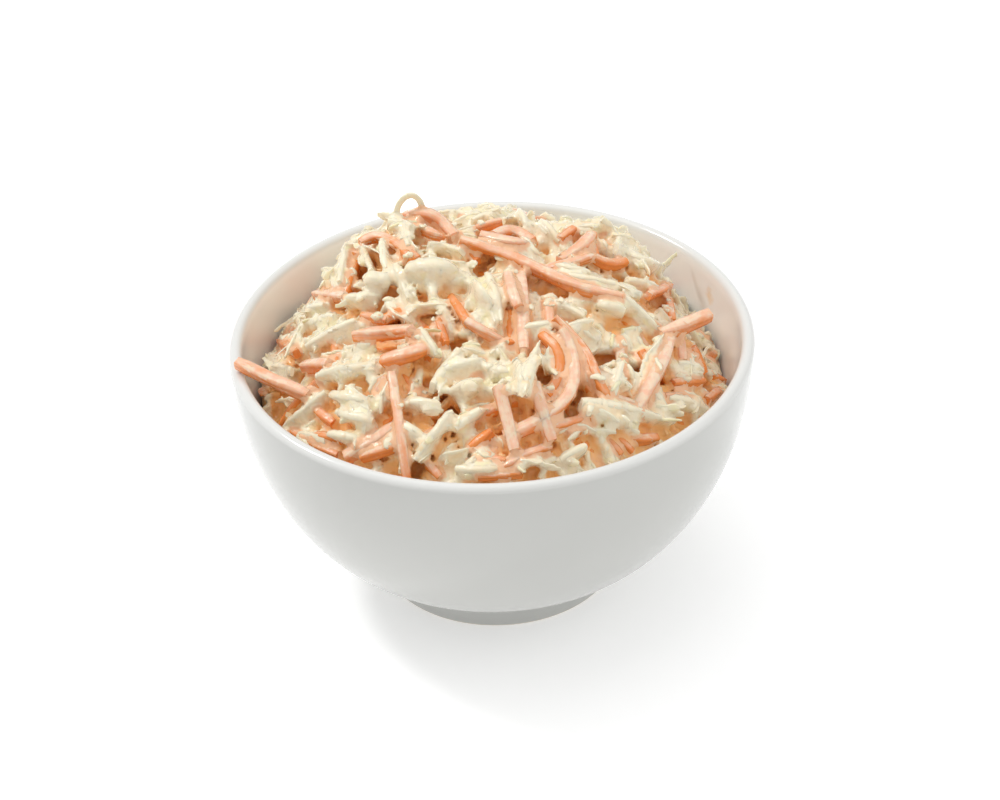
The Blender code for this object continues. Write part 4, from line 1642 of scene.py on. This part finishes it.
@dataclass
class Crumbs:
    """Small torn bits of cabbage on top of the heap, instanced by Geometry Nodes."""

    bed: ShredBed
    count: int = 420
    smallest: float = 0.6 * MM
    largest: float = 1.7 * MM
    shape: tuple[float, float, float] = (1.3, 0.9, 0.6)
    left_out: float = 0.93
    proud: float = 2.5 * MM
    tilt: float = 0.5
    torn: float = 0.55
    tear_depth: float = 4 * MM
    tear_size: float = 1.4 * MM
    tone_scale: float = 260.0
    seed: int = 5

    def places(self) -> tuple[np.ndarray, np.ndarray, np.ndarray]:
        """Places, sizes and turns, clear of most of what is to stay in view."""
        draw = np.random.default_rng(self.seed)
        places, sizes, turns = [], [], []
        for _ in range(4 * self.count):
            out = self.bed.heap.filled_radius() * math.sqrt(draw.random())
            around = draw.uniform(0, math.tau)
            x, y = out * math.cos(around), out * math.sin(around)
            cell = tuple(int(part) for part in self.bed.cells(np.array(x), np.array(y)))
            size = self.smallest + (self.largest - self.smallest) * draw.random() ** 2
            if self.bed.shown[cell] and draw.random() < self.left_out:
                continue
            height = self.bed.top[cell]
            if height > self.bed.form[cell] + self.proud:
                continue
            limit = self.bed.heap.bowl.inner_radius(height, self.bed.heap.gap) - size
            if out > limit:
                continue
            flat = np.array(self.shape) * draw.uniform(0.75, 1.25, 3)
            places.append((x, y, height + 0.25 * size))
            sizes.append(size * flat)
            tilt = draw.uniform(-self.tilt, self.tilt, 3)
            turns.append(tilt + (0, 0, draw.uniform(0, math.tau)))
            near = self.bed.cells(np.array((x, x + size / 2)), np.array((y, y + size / 2)))
            self.bed.top[near] = height + 0.5 * size
            if len(places) == self.count:
                break
        return np.array(places), np.array(sizes), np.array(turns)

    def build(self, material: bpy.types.Material) -> bpy.types.Object:
        """Makes the crumbs.

        Args:
            material: Their finish.

        Returns:
            All the crumbs as one piece.
        """
        places, sizes, turns = self.places()
        mesh = bpy.data.meshes.new("crumb places")
        mesh.from_pydata(places.tolist(), [], [])
        set_points(mesh, "stretch", "FLOAT_VECTOR", sizes)
        set_points(mesh, "turn", "FLOAT_VECTOR", turns)
        tree = GeometryTree("crumbs", {"Torn": self.torn, "Tear size": self.tear_size})
        crumb = tree.node("GeometryNodeMeshIcoSphere", {}, {"Radius": 1.0, "Subdivisions": 2})
        turn = tree.node(
            "FunctionNodeEulerToRotation", {}, {0: tree.attribute("turn", "FLOAT_VECTOR")}
        )
        spread = tree.node(
            "GeometryNodeInstanceOnPoints",
            {},
            {
                "Points": tree.given("Geometry"),
                "Instance": crumb,
                "Rotation": turn,
                "Scale": tree.attribute("stretch", "FLOAT_VECTOR"),
            },
        )
        whole = tree.node("GeometryNodeRealizeInstances", {}, {"Geometry": spread})
        tone = tree.noise(tree.node("GeometryNodeInputPosition"), self.tone_scale)
        toned = tree.stored(whole, "tone", tone)
        depth = tree.given("Torn") * self.tear_depth
        torn = tree.torn(toned, tree.given("Tear size"), 1.0, depth)
        tree.close(torn, material)
        guide = new_object("guide", mesh)
        piece = new_object("cabbage_crumbs", tree.apply(guide))
        bpy.data.objects.remove(guide)
        return piece


@dataclass
class Coat:
    """The dressing: the hollows among the pieces closed by signed distances in Geometry Nodes."""

    voxel: float = 0.64 * MM
    reach: float = 0.8 * MM
    skin: float = -0.1 * MM
    cover: float = 0.13 * MM
    waviness: float = 0.55 * MM
    wave_size: float = 1.7 * MM
    near: float = 0.35 * MM
    far: float = 1.6 * MM
    simplify: float = 0.3
    band: int = 6
    fewest_points: int = 5000

    def build(
        self,
        pieces: Sequence[bpy.types.Object],
        carrots: bpy.types.Object,
        material: bpy.types.Material,
    ) -> bpy.types.Object:
        """Makes the dressing.

        Args:
            pieces: What the dressing lies on.
            carrots: The sticks whose colour shows through it.
            material: Its finish.

        Returns:
            The dressing.
        """
        sizes = {
            "Reach": self.reach,
            "Skin": self.skin,
            "Cover": self.cover,
            "Waviness": self.waviness,
            "Near": self.near,
            "Far": self.far,
        }
        tree = GeometryTree("dressing", sizes)
        solids = [
            tree.node("GeometryNodeObjectInfo", {}, {"Object": piece}, output="Geometry")
            for piece in pieces
        ]
        joined = tree.node("GeometryNodeJoinGeometry", {}, {"Geometry": solids})
        grown = self.moved_face(tree, joined, tree.given("Reach"), 0.0)
        back = tree.given("Skin") - tree.given("Reach")
        closed = self.one_whole(tree, self.moved_face(tree, grown, back, self.simplify))
        wave = tree.noise(tree.node("GeometryNodeInputPosition"), 1 / self.wave_size)
        tinted = tree.stored(closed, "carrot", self.nearness(tree, carrots))
        clear = 1.0 - tree.attribute("carrot")
        swell = (wave - 0.5) * tree.given("Waviness") * 2 + clear * tree.given("Cover")
        offset = tree.scaled(tree.node("GeometryNodeInputNormal"), swell)
        waved = tree.node("GeometryNodeSetPosition", {}, {"Geometry": tinted, "Offset": offset})
        tree.close(waved, material)
        guide = new_object("guide", bpy.data.meshes.new("guide"))
        piece = new_object("dressing", tree.apply(guide))
        bpy.data.objects.remove(guide)
        return piece

    def nearness(self, tree: GeometryTree, carrots: bpy.types.Object) -> Socket:
        """How near the sticks are, from 0 for far to 1."""
        sticks = tree.node("GeometryNodeObjectInfo", {}, {"Object": carrots}, output="Geometry")
        distance = tree.node(
            "GeometryNodeProximity", {"target_element": "FACES"}, {0: sticks}, output="Distance"
        )
        return tree.node(
            "ShaderNodeMapRange",
            {"interpolation_type": "SMOOTHSTEP"},
            {
                "Value": distance,
                "From Min": tree.given("Near"),
                "From Max": tree.given("Far"),
                "To Min": 1.0,
                "To Max": 0.0,
            },
        )

    def one_whole(self, tree: GeometryTree, solid: Socket) -> Socket:
        """A solid without its closed bubbles and loose specks."""
        island = tree.node("GeometryNodeInputMeshIsland", output="Island Index")
        points = tree.node(
            "GeometryNodeAccumulateField",
            {"data_type": "INT", "domain": "POINT"},
            {"Value": 1, "Group ID": island},
            output="Total",
        )
        speck = tree.node(
            "ShaderNodeMath", {"operation": "LESS_THAN"}, {0: points, 1: self.fewest_points}
        )
        return tree.node(
            "GeometryNodeDeleteGeometry",
            {"domain": "POINT"},
            {"Geometry": solid, "Selection": speck},
        )

    def moved_face(
        self, tree: GeometryTree, solid: Socket, distance: Socket, simplify: float
    ) -> Socket:
        """A solid's face, moved outward by a distance."""
        distances = tree.node(
            "GeometryNodeMeshToSDFGrid",
            {},
            {"Mesh": solid, "Voxel Size": self.voxel, "Band Width": self.band},
        )
        return tree.node(
            "GeometryNodeGridToMesh",
            {},
            {"Grid": distances, "Threshold": distance, "Adaptivity": simplify},
        )


@dataclass
class Core:
    """The closed core of the heap, down to the bowl's floor, under the shreds."""

    bed: ShredBed
    sectors: int = 120
    top_rings: int = 40
    side_rings: int = 12
    sink: float = 1.0 * MM
    low: float = 11.6 * MM

    def build(self, material: bpy.types.Material) -> bpy.types.Object:
        """Makes the core from a sphere whose rings are drawn over the top and down the side.

        Args:
            material: Its finish.

        Returns:
            The core.
        """
        shape = bmesh.new()
        rings = self.top_rings + self.side_rings
        bmesh.ops.create_uvsphere(shape, u_segments=self.sectors, v_segments=rings, radius=1)
        for vertex, place in zip(shape.verts, self.places(shape, rings)):
            vertex.co = Vector(place)
        mesh = bpy.data.meshes.new("core")
        shape.to_mesh(mesh)
        shape.free()
        mesh.materials.append(material)
        mesh.shade_smooth()
        return new_object("slaw_core", mesh)

    def places(self, shape: bmesh.types.BMesh, rings: int) -> np.ndarray:
        """Where the sphere's points go: the upper rings under the heap, the rest down its side."""
        bowl, heap = self.bed.heap.bowl, self.bed.heap
        co = np.array([vertex.co for vertex in shape.verts])
        around = np.arctan2(co[:, 1], co[:, 0])
        heading = np.stack((np.cos(around), np.sin(around)), 1)
        ring = np.rint(np.arccos(np.clip(co[:, 2], -1, 1)) / math.pi * rings)
        drop = heap.edge + heap.side_drop * heading[:, 0] ** 2
        edge = bowl.inner_radius(bowl.height - drop - self.bed.depth, heap.gap)
        out = np.minimum(ring / self.top_rings, 1)
        plan = heading * (edge * out)[:, None]
        height = heap.height(plan[:, 0], plan[:, 1]) - self.bed.depth - self.sink
        down = np.clip((ring - self.top_rings) / self.side_rings, 0, 1)
        side_height = (bowl.height - drop - self.bed.depth) * (1 - down) + self.low * down
        side = heading * (bowl.inner_radius(side_height, heap.gap))[:, None]
        side *= np.where(ring >= rings, 0, 1)[:, None]
        top = ring <= self.top_rings
        return np.column_stack(
            (np.where(top[:, None], plan, side), np.where(top, height, side_height))
        )


# The studio


@dataclass(frozen=True)
class Lamp:
    """A square light that faces the bowl: its place, its size in metres and its power in watts."""

    name: str
    place: tuple[float, float, float]
    size: float
    power: float


@dataclass(frozen=True)
class Studio:
    """The pale floor, the soft lights and the camera at the photograph's viewing angle."""

    view: View = View()
    floor_size: float = 6.0
    air: float = 0.67
    lamps: tuple[Lamp, ...] = (
        Lamp("key", (-0.85, 0.4, 1.2), 0.26, 7.0),
        Lamp("overhead", (-0.15, 0.2, 1.3), 1.2, 4.6),
        Lamp("right fill", (1.1, -0.2, 0.8), 0.9, 2.2),
    )

    def floor(self) -> None:
        """Lays the floor."""
        shape = bmesh.new()
        bmesh.ops.create_grid(shape, x_segments=1, y_segments=1, size=self.floor_size / 2)
        mesh = bpy.data.meshes.new("floor")
        shape.to_mesh(mesh)
        shape.free()
        mesh.materials.append(Paper().material())
        new_object("floor", mesh)

    def lights(self) -> None:
        """Hangs a key at the back left and soft fills, in air that glows from all round."""
        for lamp in self.lamps:
            self.hang(lamp)
        world = bpy.data.worlds.new("studio air")
        world.use_nodes = True
        background = world.node_tree.nodes["Background"]
        background.inputs["Color"].default_value = (1.0, 1.0, 1.0, 1.0)
        background.inputs["Strength"].default_value = self.air
        bpy.context.scene.world = world

    def hang(self, lamp: Lamp) -> None:
        """Hangs one lamp."""
        data = bpy.data.lights.new(lamp.name, "AREA")
        data.size, data.energy = lamp.size, lamp.power
        light = bpy.data.objects.new(lamp.name, data)
        bpy.context.scene.collection.objects.link(light)
        light.location = lamp.place
        aim = Vector(self.view.target) - Vector(lamp.place)
        light.rotation_euler = aim.to_track_quat("-Z", "Y").to_euler()

    def build(self) -> None:
        """Sets up the whole studio."""
        scene = bpy.context.scene
        scene.view_settings.view_transform = "Standard"
        self.view.camera()
        self.floor()
        self.lights()


def dress(piece: bpy.types.Object, node: str) -> None:
    """Ties a finished piece to the frame.

    Args:
        piece: The piece.
        node: The solid that it stands for.
    """
    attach(piece, BODY)
    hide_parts(node)
    piece.data.update()
    log.info("%s: %d faces", piece.name, len(piece.data.polygons))


def fill_bed(bed: ShredBed) -> None:
    """Builds up the heap: what fills it, the shreds that show, and small ones between."""
    bed.open_gaps()
    for room in (5.6, 4.8):
        bed.scatter(Batch(60, Cut.CARROT, (10, 26), (2.6, 3.3), room))
        bed.scatter(Batch(90, Cut.RIB, (4, 10), (2.4, 5), room))
    for room in (3.2, 2.4, 1.6):
        bed.scatter(Batch(60, Cut.CARROT, (12, 30), (2.6, 3.3), room))
        bed.scatter(Batch(70, Cut.LEAF, (6, 14), (4, 7), room))
        bed.scatter(Batch(110, Cut.RIB, (4, 10), (2.4, 4.6), room))
    bed.scatter(Batch(330, Cut.RIB, (3, 7), (2, 4), 0.5))
    bed.scatter(Batch(220, Cut.RIB, (3, 6), (2, 3.4), -0.3))
    bed.scatter(Batch(140, Cut.RIB, (4, 9), (2.6, 4.6), 1.2, tries=24))
    for shred in SHREDS:
        bed.place(shred)
    bed.loop(STRAND_WIDTH, STRAND, STRAND_FOOT)
    bed.scatter(Batch(110, Cut.CARROT, (9, 22), (2.4, 3.2), 0.3, 4))
    bed.scatter(Batch(80, Cut.LEAF, (4, 11), (3, 6), -0.2, 3))
    bed.scatter(Batch(300, Cut.RIB, (2.5, 7), (1.8, 3.2), -0.6, 3))


def build_slaw(bed: ShredBed) -> list[bpy.types.Object]:
    """Makes the coleslaw's pieces from the filled bed.

    Args:
        bed: The heap with all its shreds.

    Returns:
        The carrot, the cabbage, the crumbs, the dressing and the core.
    """
    by_cut = {cut: [shred for shred in bed.laid if shred.cut is cut] for cut in Cut}
    log.info("shreds laid: %s", {cut.name: len(shreds) for cut, shreds in by_cut.items()})
    carrot_finish = CoatedCarrot().material()
    cabbage_finish = CoatedCabbage().material()
    dressing = Dressing().material()
    carrots = Sweep(
        Cut.CARROT, sides=16, square=7, step=1.5 * MM, uneven=0.08, ragged=0.16 * MM,
        ragged_size=2.6 * MM,
    ).build("carrot_sticks", by_cut[Cut.CARROT], carrot_finish)
    ribs = Sweep(
        Cut.RIB, sides=8, square=6, step=1.0 * MM, uneven=0.28, ragged=0.5 * MM,
        ragged_size=1.6 * MM,
    ).build("cabbage_ribs", by_cut[Cut.RIB], cabbage_finish)
    leaves = Sweep(
        Cut.LEAF, sides=10, square=3, step=0.9 * MM, uneven=0.4, ragged=0.7 * MM,
        ragged_size=2.0 * MM,
    ).build("cabbage_leaves", by_cut[Cut.LEAF], cabbage_finish)
    crumbs = Crumbs(bed).build(cabbage_finish)
    crust = Core(bed, low=CRUST_LOW).build(dressing)
    coat = Coat().build([carrots, ribs, leaves, crumbs, crust], carrots, dressing)
    bpy.data.objects.remove(crust)
    return [carrots, ribs, leaves, crumbs, coat, Core(bed).build(dressing)]


def main() -> None:
    """Builds the bowl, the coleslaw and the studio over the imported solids."""
    logging.basicConfig(level=logging.INFO, format="%(message)s")
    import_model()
    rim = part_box("bowl")[1]
    form = BowlForm(rim_radius=RIM_RADIUS, height=float(rim[2]))
    Studio().build()
    dress(Bowl(form).build(), "bowl")

    bed = ShredBed(HeapForm(form), View(), depth=CORE_DEPTH)
    fill_bed(bed)
    for piece in build_slaw(bed):
        bed.mark(piece.data)
        dress(piece, "coleslaw")


if __name__ == "__main__":
    main()
